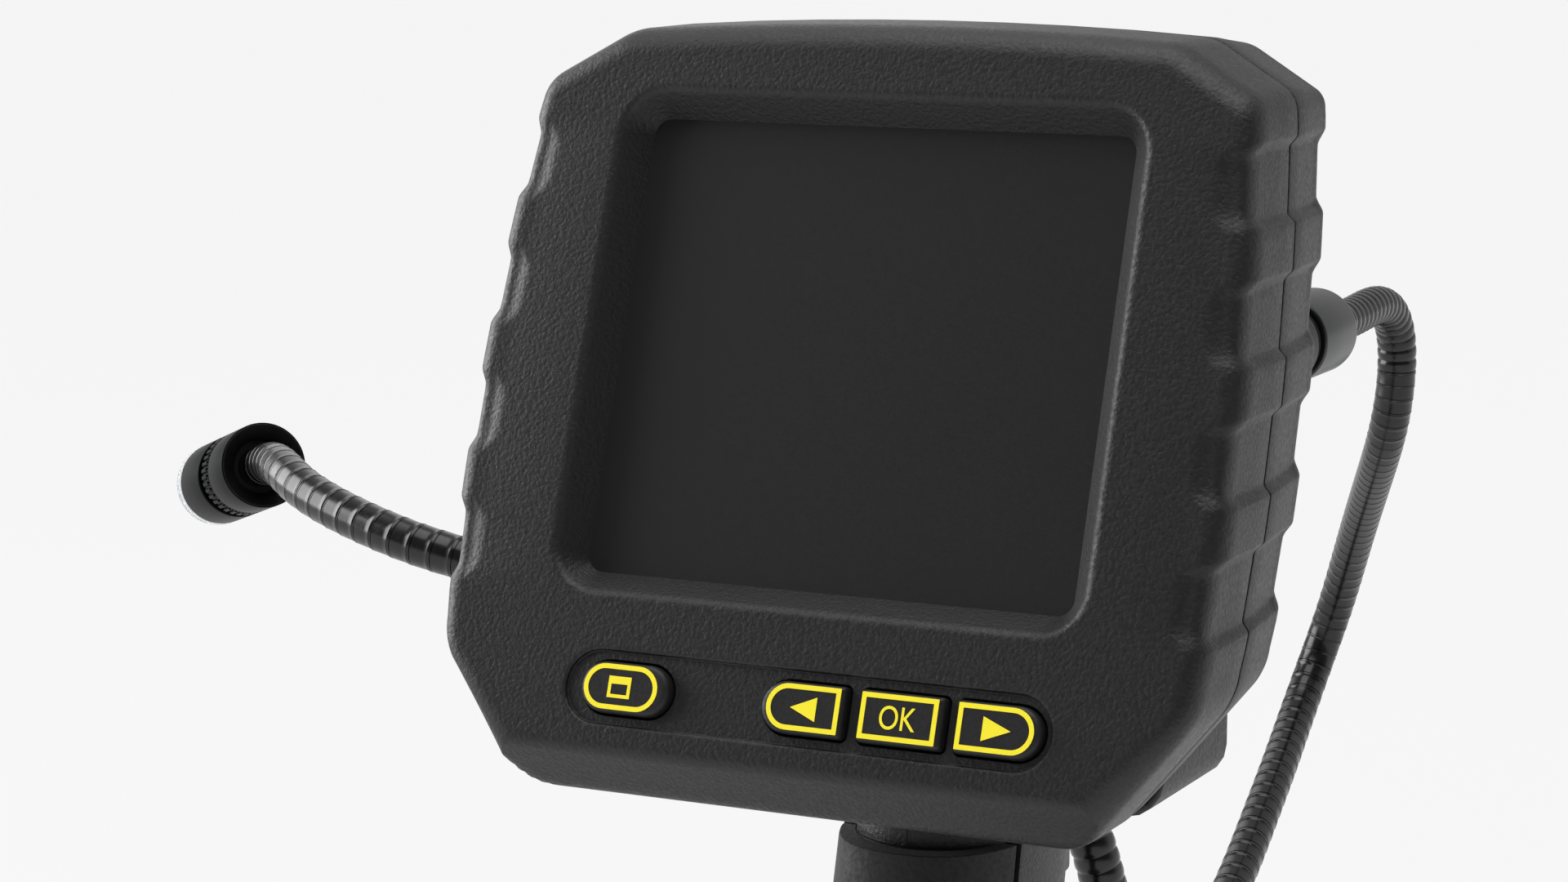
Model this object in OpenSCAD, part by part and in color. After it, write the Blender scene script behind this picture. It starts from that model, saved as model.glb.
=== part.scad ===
// Pistol-grip inspection camera: a leaning colour display on a hand grip, a slide-on battery
// foot, and a gooseneck cable that carries the camera head.
// Millimetres. X is to the user's right, Y is away from the user and Z is up.
// The origin is the middle of the battery's underside.

/* [Display] */
// Width of the visible screen
screen_w = 76; // [62:0.1:82]
// Height of the visible screen
screen_h = 68; // [58:1:72]
// Lean of the screen away from the user, in degrees
display_tilt = 19.3; // [12:0.1:22]
// Height of the screen's middle above the table
screen_z = 216; // [212:1:236]
// Half of the housing's width at its widest
housing_half_w = 60; // [57:0.5:72]
// Housing above the screen's middle
housing_top = 46.6; // [45:0.1:56]
// Housing below the screen's middle
housing_bottom = 62.9; // [61:0.1:66]
// Depth of the housing from its face to its back, measured level
housing_depth = 36.5; // [32:0.5:44]
// Depth of the front shell, measured level
front_shell_depth = 17; // [14:0.5:22]
// Depth of the screen below the housing's face
recess_depth = 4.6; // [3.5:0.1:6]
// Width of the sloping wall round the screen
recess_slope = 3.4; // [2:0.1:5]
// Thickness of the housing's side walls
housing_wall = 5.5; // [5:0.1:7]
// Thickness of the housing's back wall
back_wall = 3; // [2:0.1:4]
// Depth of the finger notches in the housing's sides
notch_depth = 1.2; // [0.8:0.1:2.5]
// Flat length of one finger notch
notch_len = 7.4; // [6:0.1:10]
// Distance from one finger notch to the next
notch_pitch = 18.2; // [16:0.1:19]

/* [Buttons] */
// Width of an arrow or OK button
button_w = 12.8; // [10:0.01:15.5]
// Height of every button
button_h = 7.4; // [6:0.1:8]
// Width of the menu button
menu_w = 14.2; // [12:0.1:16]
// Rise of a button above the housing's face
button_rise = 1; // [0.5:0.1:2]
// Running gap round a button
button_gap = 0.3; // [0.2:0.05:0.4]

/* [Body and grip] */
// Half of the barrel's width at the display
barrel_half_w = 30; // [29:0.5:34]
// Half of the barrel's height at the display
barrel_half_h = 28; // [26:0.5:28.5]
// Wall of the barrel and grip
body_wall = 3; // [2.4:0.1:4]
// Reach of the nose boss in front of the grip's foot
nose_y = 147; // [140:1:160]
// Height of the cable's axis where it leaves the nose
nose_z = 196; // [192:1:200]
// Lean of the grip towards the user, in degrees
grip_rake = 14; // [8:0.5:18]
// Half of the grip's width
grip_half_w = 15.5; // [14.5:0.1:18]
// Half of the grip's depth
grip_half_d = 23; // [22.5:0.1:26]
// Open joint between the soft grip and the shells
grip_joint = 1; // [0.5:0.1:1.5]
// Radius of the dimmer wheel
wheel_r = 9; // [8:0.1:10]
// Width of the dimmer wheel
wheel_w = 8; // [6:0.1:9]

/* [Battery] */
// Width of the battery
battery_w = 62; // [61.5:0.5:70]
// Length of the battery
battery_l = 92; // [88:0.1:112]
// Height of the battery below the foot
battery_h = 47.6; // [44:0.1:56]
// Wall of the battery's case
battery_wall = 2.5; // [2:0.1:2.7]
// Half of the battery rail's width at its head
rail_half_w = 14; // [12:0.5:18]

/* [Cable] */
// Outside diameter of the gooseneck
hose_d = 7.9; // [6:0.1:9.5]
// Bore of the gooseneck
hose_bore = 4; // [3:0.1:5]
// Distance from one rib of the gooseneck to the next
rib_pitch = 4.2; // [4:0.1:6]
// Depth of the groove between two ribs
rib_depth = 0.45; // [0.2:0.05:0.6]
// Outside radius of the coupling nut
nut_r = 8.2; // [8:0.1:10]
// Length of the coupling nut
nut_len = 19.7; // [18:0.1:24]

/* [Camera head] */
// Outside radius of the camera head
head_r = 8.2; // [8.2:0.1:10]
// Length of the head's rear sleeve
head_sleeve_len = 11.7; // [10:0.1:16]
// Length of the knurled ring
knurl_len = 5.4; // [4:0.1:8]
// Number of ridges on the knurled ring
knurl_count = 44; // [30:1:60]
// Length of the head's front barrel
head_barrel_len = 15.4; // [12:0.1:20]
// Length of the clear ring at the lens
lens_ring_len = 4.2; // [3.5:0.1:6]

/* [Hidden] */
$fn = 48;
eps = 0.01;

// Gap that keeps two bodies apart where one moves past the other
running_gap = 0.3;
// Gap between pieces that are pushed together
fit_gap = 0.05;

// Plain helpers
function unit(v) = v / norm(v);
function turn(p, a) = [p.x * cos(a) - p.y * sin(a), p.x * sin(a) + p.y * cos(a)];
function ramp(a) = let (s = min(1, max(0, a))) s * s * (3 - 2 * s);
function sgn_pow(v, e) = sign(v) * pow(abs(v), e);

// Arc of n steps that rounds corner b, coming from a and going to c
function fillet(a, b, c, r, n) =
  let (
    u = unit(a - b),
    v = unit(c - b),
    h = acos(u * v) / 2,
    o = b + unit(u + v) * r / sin(h),
    p = b + u * r / tan(h) - o,
    q = b + v * r / tan(h) - o,
    s = sign(p.x * q.y - p.y * q.x)
  )
  [for (i = [0:n]) o + turn(p, s * (180 - 2 * h) * i / n)];

// Rounded rectangle as points, counter-clockwise
function round_rect_points(w, h, r, n) =
  [for (c = [[1, 1, 0], [-1, 1, 90], [-1, -1, 180], [1, -1, 270]])
    for (i = [0:n])
      [c.x * (w / 2 - r), c.y * (h / 2 - r)] + r * [cos(c.z + 90 * i / n), sin(c.z + 90 * i / n)]];

// Solid through a list of rings, each counter-clockwise as seen from the first ring's side
module loft(rings) {
  n = len(rings[0]);
  last = (len(rings) - 1) * n;
  sides = [
    for (k = [0:len(rings) - 2])
      for (i = [0:n - 1])
        let (a = k * n + i, b = k * n + (i + 1) % n)
        each [[a, b, b + n], [a, b + n, a + n]]
  ];
  ends = [[for (i = [n - 1:-1:0]) i], [for (i = [0:n - 1]) last + i]];
  polyhedron([for (r = rings) each r], concat(ends, sides));
}

module round_rect(w, h, r) {
  square([w - 2 * r, h], center = true);
  square([w, h - 2 * r], center = true);
  for (x = [-1, 1], y = [-1, 1])
    translate([x * (w / 2 - r), y * (h / 2 - r)])
      circle(r);
}

module stadium(r, half_gap) {
  square([2 * r, 2 * half_gap], center = true);
  for (s = [-1, 1])
    translate([0, s * half_gap])
      circle(r);
}

module mirrored() {
  children();
  mirror([1, 0, 0])
    children();
}

// Extrudes a flat shape drawn in X and Z along Y, from y0 to y1
module along_y(y0, y1) {
  translate([0, y1, 0])
    rotate([90, 0, 0])
      linear_extrude(y1 - y0)
        children();
}

// Turns a profile of radius against Y about an axis along Y at height z
module turned_along_y(z) {
  translate([0, 0, z])
    rotate([-90, 0, 0])
      rotate_extrude()
        children();
}

// Display housing: its outline is drawn in X and Z round the screen's middle
screen_y = -36;
side_taper = 3.4;
side_belly = -14;
side_reach = 50;
side_low = -43;
side_high = 37.5;
chamfer_low_x = housing_half_w - 16.5;
chamfer_top_x = housing_half_w - 17;
top_drop = 1.4;
notch_count = 4;
notch_top = 26.2;
notch_ramp = 2.4;

function side_x(z) = housing_half_w - side_taper * pow((z - side_belly) / side_reach, 2);
function top_z(x) = housing_top - top_drop * pow(x / chamfer_top_x, 2);
function notch_z(i) = notch_top - i * notch_pitch;
function notch_at(z) = max([
  for (i = [0:notch_count - 1])
    ramp((notch_len / 2 + notch_ramp - abs(z - notch_z(i))) / notch_ramp)
]);

corner_low = [chamfer_low_x, -housing_bottom];
corner_side = [side_x(side_low), side_low];
corner_high = [side_x(side_high), side_high];
corner_top = [chamfer_top_x, top_z(chamfer_top_x)];
notch_steps = [for (k = [3:-1:0]) notch_len / 2 + notch_ramp * k / 3];
side_zs = [
  for (i = [notch_count - 1:-1:0])
    each concat([for (s = notch_steps) notch_z(i) - s], [for (k = [3:-1:0]) notch_z(i) + notch_steps[k]])
];
// The outline with points on its sides at the given heights, and the radii of its two upper corners
function outline_of(zs, side_r, top_r) =
  let (
    right = concat(
      fillet([0, -housing_bottom], corner_low, corner_side, 10, 5),
      fillet(corner_low, corner_side, [side_x(0), 0], 10, 4),
      [for (z = zs) [side_x(z), z]],
      fillet([side_x(20), 20], corner_high, corner_top, side_r, 4),
      fillet(corner_high, corner_top, [0, housing_top], top_r, 4),
      [for (x = [24, 12]) [x, top_z(x)]]
    ),
    n = len(right)
  )
  concat(right, [[0, housing_top]], [for (i = [n - 1:-1:0]) [-right[i].x, right[i].y]]);
outline = outline_of(side_zs, 5.2, 9);
inner_outline = outline_of([-24, -8, 8, 24], 9, 14);

// Share of the chamfer under the housing: 1 along its underside and 0 on its sides
function underside(z) = ramp((side_low - 6 - z) / 8);

// An outline moved inwards by d, by low along its underside, and by a further n in the finger notches
function inset(line, d, n, low) =
  let (m = len(line))
  [for (i = [0:m - 1])
    let (
      p = line[i],
      t = unit(line[(i + 1) % m] - line[(i + m - 1) % m]),
      side = p.y > side_low && p.y < side_high ? notch_at(p.y) : 0,
      k = d + n * side + (low - d) * underside(p.y)
    )
    p - k * [t.y, -t.x]];

// Level place of the housing's leaning face at a height above the screen's middle
function face_y(z) = screen_y - recess_depth / cos(display_tilt) + z * tan(display_tilt);
// One ring of the housing: its level depth behind the face, its inset, its share of the notches and
// its inset along the underside
function housing_ring(depth, d, n, low) =
  [for (p = inset(outline, d, n * notch_depth, low)) [p.x, face_y(p.y) + depth, p.y + screen_z]];

seam_gap = 0.4;
// Depth below the screen's plane, square to it, for a level depth behind the face
function below_screen(depth) = depth * cos(display_tilt) - recess_depth;
back_n = -below_screen(housing_depth - back_wall);
back_outer_n = -below_screen(housing_depth);
seam_n = -below_screen(front_shell_depth);

// Places its children in the screen's own frame: X right, Y up the screen, Z towards the user
module in_display() {
  translate([0, screen_y, screen_z])
    rotate([90 - display_tilt, 0, 0])
      children();
}

module housing_hollow(n_front, n_back, d) {
  intersection() {
    translate([0, 0, screen_z])
      along_y(-150, 100)
        polygon(inset(inner_outline, d, 0, d));
    in_display()
      translate([-100, -120, n_back])
        cube([200, 240, n_front - n_back]);
  }
}

screw_high_x = housing_half_w - 13;
screw_low_x = housing_half_w - 10;
screw_places = [[screw_high_x, 28], [-screw_high_x, 28], [screw_low_x, -20], [-screw_low_x, -20]];
screw_r = 1.4;
screw_head_r = 2.8;
screw_head_h = 2;
screw_sink = 1;

// Buttons stand in one long recess below the screen
strip_u = -50.9;
strip_r = button_h / 2 + 1.6;
strip_depth = 0.7;
menu_space = 14.6;
ok_x = 17;
left_x = ok_x - button_w - 2.2;
right_x = ok_x + button_w + 1.8;
menu_x = left_x - button_w / 2 - menu_space - menu_w / 2;
strip_left = menu_x - menu_w / 2 - 2.9;
strip_right = right_x + button_w / 2 + 1.1;
strip_x = (strip_left + strip_right) / 2;
strip_half_len = (strip_right - strip_left) / 2;
flange_h = 1.2;
flange_lip = 1.2;
dome_h = 0.6;
button_travel = 0.8;
keypad_n = -(running_gap + flange_h + button_travel + dome_h + 0.1);

module button_outline(kind, grow) {
  w = (kind == "menu" ? menu_w : button_w) + 2 * grow;
  h = button_h + 2 * grow;
  round_left = kind == "menu" || kind == "left";
  round_right = kind == "menu" || kind == "right";
  x0 = -w / 2 + (round_left ? h / 2 : 0);
  x1 = w / 2 - (round_right ? h / 2 : 0);
  translate([x0, -h / 2])
    square([x1 - x0, h]);
  if (round_left)
    translate([x0, 0])
      circle(h / 2, $fn = 36);
  if (round_right)
    translate([x1, 0])
      circle(h / 2, $fn = 36);
}

module button(kind, x) {
  w = kind == "menu" ? menu_w - button_h : button_w - button_h / 2;
  color("#1c1c1e")
    in_display()
      translate([x, strip_u, -running_gap - flange_h]) {
        linear_extrude(recess_depth + button_rise + running_gap + flange_h)
          button_outline(kind, 0);
        linear_extrude(flange_h)
          square([w, button_h + 2 * flange_lip], center = true);
      }
}

module menu_button() {
  button("menu", menu_x);
}

module left_button() {
  button("left", left_x);
}

module ok_button() {
  button("ok", ok_x);
}

module right_button() {
  button("right", right_x);
}

module button_holes() {
  for (b = [["menu", menu_x], ["left", left_x], ["ok", ok_x], ["right", right_x]])
    translate([b[1], strip_u, -1])
      linear_extrude(recess_depth + 2)
        button_outline(b[0], button_gap);
}

module button_strip() {
  translate([strip_x, strip_u, recess_depth - strip_depth])
    rotate(90)
      linear_extrude(strip_depth + 1)
        stadium(strip_r, strip_half_len - strip_r, $fn = 36);
}

module screen_recess() {
  over = 0.5;
  grow = 2 * recess_slope * (1 + over / recess_depth);
  rings = [
    [recess_depth + over, grow, 6],
    [0, 0, 2.5],
    [-over, 0, 2.5]
  ];
  loft([
    for (r = rings)
      [for (p = round_rect_points(screen_w + r[1], screen_h + r[1], r[2], 5)) [p.x, p.y, r[0]]]
  ]);
}

// Holds the housing's overall width exactly
module full_width() {
  resize([2 * housing_half_w, 0, 0])
    children();
}

keypad_posts = [menu_x + menu_w / 2 + 5, left_x - button_w / 2 - 4.6];
module display_front_shell() {
  $fn = 16;
  color("#36363a")
    full_width() {
    difference() {
      loft([
        housing_ring(0, 4.4, 0.2, 8.5),
        housing_ring(0.5, 2.4, 0.7, 7.3),
        housing_ring(1.7, 0.9, 1, 6.1),
        housing_ring(3.8, 0.2, 1, 4.1),
        housing_ring(8, 0, 1, 0.3),
        housing_ring(front_shell_depth, 0, 1, 0)
      ]);
      housing_hollow(0, -80, housing_wall);
      in_display() {
        screen_recess();
        button_strip();
        button_holes();
      }
    }
    in_display() {
      for (x = keypad_posts)
        translate([x, strip_u, keypad_n])
          cylinder(r = 1.8, h = -keypad_n + eps);
      for (p = screw_places)
        translate([p.x, p.y, seam_n])
          difference() {
            cylinder(r = 3.6, h = -seam_n + eps);
            translate([0, 0, -eps])
              cylinder(r = screw_r + fit_gap, h = 9);
          }
    }
  }
}

// The block low on the display's back, which slides down over the rail on the dock plate
dock_y = screen_y + housing_depth - 6;
block_half_w = 46;
block_top = -22;
stem_half_w = 6.7;
stem_len = 4.2;
head_half_w = 11.7;
head_len = 3.8;
rail_bottom_z = screen_z - housing_bottom + 3.3;
rail_len = 26;
dock_gap = 0.3;

module dock_slot() {
  z0 = screen_z - housing_bottom - 1;
  z1 = rail_bottom_z + rail_len + 2;
  g = dock_gap;
  stem_y = dock_y + g - stem_len;
  translate([-stem_half_w - g, stem_y - g, z0])
    cube([2 * (stem_half_w + g), stem_len + 1, z1 - z0]);
  translate([-head_half_w - g, stem_y - head_len - g, z0])
    cube([2 * (head_half_w + g), head_len + 2 * g, z1 - z0]);
}

module display_rear_shell() {
  block_h = block_top + housing_bottom;
  rear_start = front_shell_depth + seam_gap;
  boss_h = seam_n - seam_gap * cos(display_tilt) - back_n + eps;
  peg_x = board_w / 2 - 6;
  peg_top = board_h / 2 - 6;
  peg_low = 4 - board_h / 2;
  pegs = [[peg_x, peg_top], [-peg_x, peg_top], [10, peg_low], [-10, peg_low]];
  $fn = 16;
  color("#3a3a3e")
    full_width() {
    difference() {
      union() {
        loft([
          housing_ring(rear_start, 0, 1, 0),
          housing_ring(housing_depth - 10, 0.8, 1, 0.8),
          housing_ring(housing_depth - 3.5, 1.6, 1, 2),
          housing_ring(housing_depth - 1, 2.9, 0.7, 4),
          housing_ring(housing_depth, 4.6, 0.2, 7)
        ]);
        translate([0, 0, screen_z + (block_top - housing_bottom) / 2])
          along_y(dock_y - 24, dock_y)
            round_rect(2 * block_half_w, block_h, 5);
      }
      housing_hollow(40, back_n, housing_wall);
      for (s = [0, 1])
        mirror([s, 0, 0])
          translate([head_half_w + 5, dock_y - 36, screen_z - housing_bottom + 6])
            cube([block_half_w - head_half_w - 9, 33, block_h - 11]);
      dock_slot();
      in_display()
        for (p = screw_places)
          translate([p.x, p.y, back_outer_n - 1])
            cylinder(r = screw_head_r + 0.2, h = 1 + screw_sink + screw_head_h + fit_gap);
      in_display()
        for (p = screw_places)
          translate([p.x, p.y, back_outer_n - 1])
            cylinder(r = screw_r + 0.2, h = 20);
    }
    in_display() {
      for (p = screw_places)
        translate([p.x, p.y, back_n - eps])
          difference() {
            cylinder(r = 4.2, h = boss_h);
            translate([0, 0, -1])
              cylinder(r = screw_head_r + 0.2, h = 1 + back_outer_n - back_n + screw_sink + screw_head_h
                + fit_gap);
            translate([0, 0, -1])
              cylinder(r = screw_r + 0.2, h = boss_h + 2);
          }
      for (p = pegs)
        translate([p.x, p.y, back_n - eps])
          cylinder(r = 2.5, h = board_back_n - back_n + eps);
      for (x = [-10, 13])
        translate([x, strip_u + 4, back_n - eps])
          cylinder(r = 2, h = keypad_n - keypad_t - back_n + eps);
    }
  }
}

module shell_seal() {
  color("#101010")
    difference() {
      housing_hollow(seam_n - 0.02, seam_n - seam_gap * cos(display_tilt), notch_depth + 0.9);
      housing_hollow(seam_n + 1, seam_n - 2, housing_wall);
    }
}

// The stack behind the screen: window, panel, board
window_t = 1.6;
window_lip = 2;
panel_w = screen_w + 0.9;
panel_h = screen_h - 4.1;
panel_t = 3.2;
board_t = 1.6;
board_w = screen_w + 8;
board_h = screen_h + 8;
board_back_n = -window_t - panel_t - board_t;
keypad_t = 1.2;
cell_size = [board_w - 22, board_h - 30, 7.8];

module slab(w, h, n0, n1) {
  translate([-w / 2, -h / 2, n0])
    cube([w, h, n1 - n0]);
}

module screen_window() {
  color("#26262a")
    in_display()
      slab(screen_w + 2 * window_lip, screen_h + 2 * window_lip, -window_t, 0);
}

module screen_gasket() {
  color("#151515")
    in_display()
      difference() {
        slab(screen_w + 2 * window_lip + 4, screen_h + 2 * window_lip + 4, -window_t, 0);
        slab(screen_w + 2 * window_lip + 2 * fit_gap, screen_h + 2 * window_lip + 2 * fit_gap, -3, 1);
      }
}

module lcd_panel() {
  color("#55585c")
    in_display()
      slab(panel_w, panel_h, -window_t - panel_t, -window_t);
}

module display_board() {
  color("#1f5a34")
    in_display()
      slab(board_w, board_h, board_back_n, board_back_n + board_t);
}

module keypad_board() {
  color("#1f5a34")
    intersection() {
      in_display()
        translate([strip_x, strip_u, 0])
          slab(2 * strip_half_len + 1.8, button_h + 2.6, keypad_n - keypad_t, keypad_n);
      housing_hollow(0, -80, housing_wall + 0.3);
    }
}

module dome_switches() {
  color("silver")
    in_display()
      for (x = [menu_x, left_x, ok_x, right_x])
        translate([x, strip_u, keypad_n])
          cylinder(r = 2.5, h = dome_h);
}

module display_cell() {
  color("#8a9097")
    in_display()
      translate([0, 8, 0])
        slab(cell_size.x, cell_size.y, back_n, back_n + cell_size.z);
}

module display_screws() {
  head_n = back_outer_n + screw_sink;
  color("#6b6e72")
    in_display()
      for (p = screw_places)
        translate([p.x, p.y, head_n]) {
          difference() {
            cylinder(r = screw_head_r, h = screw_head_h);
            translate([0, 0, -eps])
              cylinder(r = 1.3, h = 1.2, $fn = 6);
          }
          cylinder(r = screw_r, h = seam_n + 8 - head_n);
        }
}

// Pistol body: two shells that meet at X = 0
plate_t = 4;
barrel_y = dock_y + dock_gap + plate_t;
barrel_z = 182;
boss_r = 8;
socket_r = 6;
socket_flange = 3;
barrel_end_y = nose_y - 30;
split = 0.05;
oval_steps = 20;

// Sections of the barrel: distance along it, half width, half height, middle height, squareness
barrel_sections = [
  [barrel_y, barrel_half_w, barrel_half_h, barrel_z, 5],
  [barrel_y + 26, barrel_half_w + 0.5, barrel_half_h, barrel_z, 5],
  [barrel_y + 56, barrel_half_w - 4, barrel_half_h - 4, barrel_z + 4, 4],
  [barrel_y + 86, barrel_half_w - 10, barrel_half_h - 10, barrel_z + 8, 3.2],
  [barrel_end_y, 14, 13, nose_z - 1.5, 2.5],
  [nose_y - 10, 9.6, 9.6, nose_z, 2],
  [nose_y - 6, 8.6, 8.6, nose_z, 2]
];

// Right half of an oval of half sizes a and b, from its lower end round to its upper end
function half_oval(a, b, e, steps) =
  [for (i = [0:steps])
    let (t = -90 + 180 * i / steps)
    [max(a * sgn_pow(cos(t), 2 / e), 0) + split, b * sgn_pow(sin(t), 2 / e)]];

function barrel_ring(s, d, steps) =
  [for (p = half_oval(s[1] - d, s[2] - d, s[4], steps)) [p.x, s[0], s[3] + p.y]];

// Sections of the grip and foot: height, half width, half depth, middle, squareness
rim_z = 140;
grip_ref_z = 134;
grip_y = -1;
foot_z = battery_h + 0.4;
foot_half_w = battery_w / 2 - 2;
foot_half_l = battery_l / 2 - 1;
function grip_axis_y(z) = grip_y + (z - grip_ref_z) * tan(grip_rake);
grip_sections = [
  [rim_z, grip_half_w, grip_half_d, grip_axis_y(rim_z), 2.4],
  [126, grip_half_w + 0.2, grip_half_d, grip_axis_y(126), 2.4],
  [104, grip_half_w + 1.5, grip_half_d + 1.5, grip_axis_y(104), 2.4],
  [82, grip_half_w + 0.3, grip_half_d - 0.5, grip_axis_y(82), 2.4],
  [72, grip_half_w + 1, grip_half_d + 1, grip_axis_y(72), 2.6]
];
foot_sections = [
  [67, grip_half_w + 5, grip_half_d + 8, -12, 3],
  [63, foot_half_w - 3, foot_half_l - 3, 0, 5],
  [60, foot_half_w, foot_half_l, 0, 6],
  [foot_z, foot_half_w, foot_half_l, 0, 6]
];

function level_ring(s, steps) =
  [for (p = half_oval(s[1], s[2], s[4], steps)) [p.x, s[3] + p.y, s[0]]];
function oval_ring(s, steps) =
  [for (i = [0:2 * steps - 1])
    let (t = -90 + 180 * i / steps)
    [s[1] * sgn_pow(cos(t), 2 / s[4]), s[3] + s[2] * sgn_pow(sin(t), 2 / s[4]), s[0]]];

// Places its children on the leaning axis of the grip
module raked() {
  translate([0, grip_y, grip_ref_z])
    rotate([-grip_rake, 0, 0])
      children();
}

core_r = 12.5;
core_gap = 6.5;
joint_y = -9;
cover_low = 74 - grip_ref_z;
module grip_core(r, low, high) {
  raked()
    translate([0, 0, low])
      linear_extrude(high - low)
        stadium(r, core_gap);
}

// The soft cover fills the user's side of the grip, outside the shells' core
module grip_cover_zone() {
  difference() {
    raked()
      translate([-40, joint_y - 60, cover_low])
        cube([80, 60, 90]);
    grip_core(core_r, -90, 30);
  }
}

wheel_z = 127;
wheel_y = grip_axis_y(wheel_z) + grip_half_d - 5.5;
axle_r = 1.5;
axle_half_len = 8;
ledge_z = 172;
ledge_h = 3.2;
board_half_w = 19;
board_y = barrel_y + 7.2;
board_len = 54;
// Screws across the body: Y, Z, and where the head sits in X
body_screw_places = [[18, 202, 24], [18, 163, 24], [88, 192, 14], [-10, 98, 12], [5 - battery_l / 2, 55, 20]];
body_screw_r = 1.5;
body_screw_head_r = 2.7;
body_screw_tip = 9;
dock_screw_places = [[24, 163], [24, 201]];
dock_screw_r = 1.3;

module across(y, z, x0, x1, r) {
  translate([x0, y, z])
    rotate([0, 90, 0])
      cylinder(r = r, h = x1 - x0);
}

// Posts and ledges left standing inside the hollow shells
module body_supports() {
  translate([board_half_w - 4, board_y + 2, ledge_z])
    cube([30, board_len - 4, ledge_h]);
  for (p = body_screw_places)
    across(p[0], p[1], 0, 40, 3.6);
  for (p = dock_screw_places)
    translate([p.x, barrel_y - 2, p.y])
      rotate([-90, 0, 0])
        cylinder(r = 3.2, h = 14);
}

module body_hollow() {
  last = 4;
  loft([
    for (i = [0:last])
      let (s = barrel_sections[i])
      barrel_ring([s[0] - (i == 0 ? 1 : 0), s[1], s[2], s[3], s[4]], body_wall, 10)
  ]);
  grip_core(core_r - body_wall, -64, 26);
}

module right_side_only() {
  intersection() {
    children();
    translate([split, -100, 0])
      cube([60, 400, 300]);
  }
}

neck_top = screen_z - housing_bottom - 0.5;
module body_skin() {
  loft([for (s = barrel_sections) barrel_ring(s, 0, oval_steps)]);
  loft([for (s = concat(grip_sections, foot_sections)) level_ring(s, oval_steps)]);
  right_side_only() {
    turned_along_y(nose_z)
      translate([0, nose_y - 12])
        square([boss_r, 12]);
    translate([0, 3, rim_z - 10])
      linear_extrude(neck_top - rim_z + 10)
        stadium(13, 8);
    translate([0, barrel_y + 13, rim_z - 10])
      linear_extrude(34)
        stadium(13, 0.5);
  }
}

module battery_slot() {
  g = running_gap;
  translate([-rail_stem_half_w - g, rail_y0 - 3, foot_z - 1])
    cube([2 * (rail_stem_half_w + g), 200, rail_neck_z + g - foot_z + 1]);
  translate([-rail_half_w - g, rail_y0 - 3, rail_neck_z - g])
    cube([2 * (rail_half_w + g), 200, rail_head_h + 2 * g]);
  translate([0, -18, rail_neck_z])
    cylinder(r = 3, h = 20);
}

module wheel_room() {
  across(wheel_y, wheel_z, -1, wheel_w / 2 + 0.4, wheel_r + 0.5);
  across(wheel_y, wheel_z, -1, axle_half_len + fit_gap, axle_r + 0.02);
}

module body_screw_hole(p, head_side) {
  if (head_side) {
    across(p[0], p[1], -1, 60, body_screw_r + 0.15);
    across(p[0], p[1], p[2], 60, body_screw_head_r + 0.2);
  } else {
    across(p[0], p[1], -1, body_screw_tip + 1, body_screw_r + fit_gap);
  }
}

module body_half(head_side) {
  difference() {
    body_skin();
    difference() {
      body_hollow();
      body_supports();
    }
    grip_cover_zone();
    turned_along_y(nose_z)
      translate([0, barrel_end_y - 1])
        square([socket_r + fit_gap, 40]);
    battery_slot();
    wheel_room();
    for (p = dock_screw_places)
      translate([p.x, barrel_y - 1, p.y])
        rotate([-90, 0, 0])
          cylinder(r = dock_screw_r + fit_gap, h = 11);
    for (p = body_screw_places)
      body_screw_hole(p, head_side);
  }
}

module body_right_shell() {
  color("#3b3b3f")
    body_half(true);
}

module body_left_shell() {
  color("#3b3b3f")
    mirror([1, 0, 0])
      body_half(false);
}

module rear_grip() {
  color("#2a2a2c")
    difference() {
      loft([for (s = grip_sections) oval_ring(s, oval_steps)]);
      raked()
        translate([-40, joint_y - grip_joint, -100])
          cube([80, 80, 200]);
      raked()
        translate([-40, -60, cover_low - 60])
          cube([80, 80, 60 + grip_joint / 2]);
      grip_core(core_r + fit_gap, -90, 30);
    }
}

module dock_plate() {
  rail_y = dock_y + dock_gap;
  color("#2e2e31")
    difference() {
      union() {
        translate([0, 0, barrel_z + 1])
          along_y(rail_y, barrel_y)
            round_rect(2 * barrel_half_w - 2, 2 * barrel_half_h - 4, 10);
        translate([-stem_half_w, rail_y - stem_len, rail_bottom_z])
          cube([2 * stem_half_w, stem_len + 1, rail_len]);
        translate([-head_half_w, rail_y - stem_len - head_len, rail_bottom_z])
          cube([2 * head_half_w, head_len, rail_len]);
      }
      for (s = [-1, 1], p = dock_screw_places)
        translate([s * p.x, rail_y - 1, p.y])
          rotate([-90, 0, 0]) {
            cylinder(r = dock_screw_r + 0.2, h = 10);
            cylinder(r = 2.8, h = 3.2);
          }
    }
}

module dock_screws() {
  color("#6b6e72")
    for (s = [-1, 1], p = dock_screw_places)
      translate([s * p.x, dock_y + dock_gap + 0.3, p.y])
        rotate([-90, 0, 0]) {
          difference() {
            cylinder(r = 2.6, h = 1.9);
            translate([0, 0, -eps])
              cylinder(r = 1.2, h = 1.1, $fn = 6);
          }
          cylinder(r = dock_screw_r, h = 12);
        }
}

module body_screws() {
  color("#6b6e72")
    for (p = body_screw_places)
      difference() {
        union() {
          across(p[0], p[1], p[2], p[2] + 2, body_screw_head_r);
          across(p[0], p[1], -body_screw_tip, p[2] + eps, body_screw_r);
        }
        translate([p[2] + 0.9, p[0], p[1]])
          rotate([0, 90, 0])
            cylinder(r = 1.3, h = 2, $fn = 6);
      }
}

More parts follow.
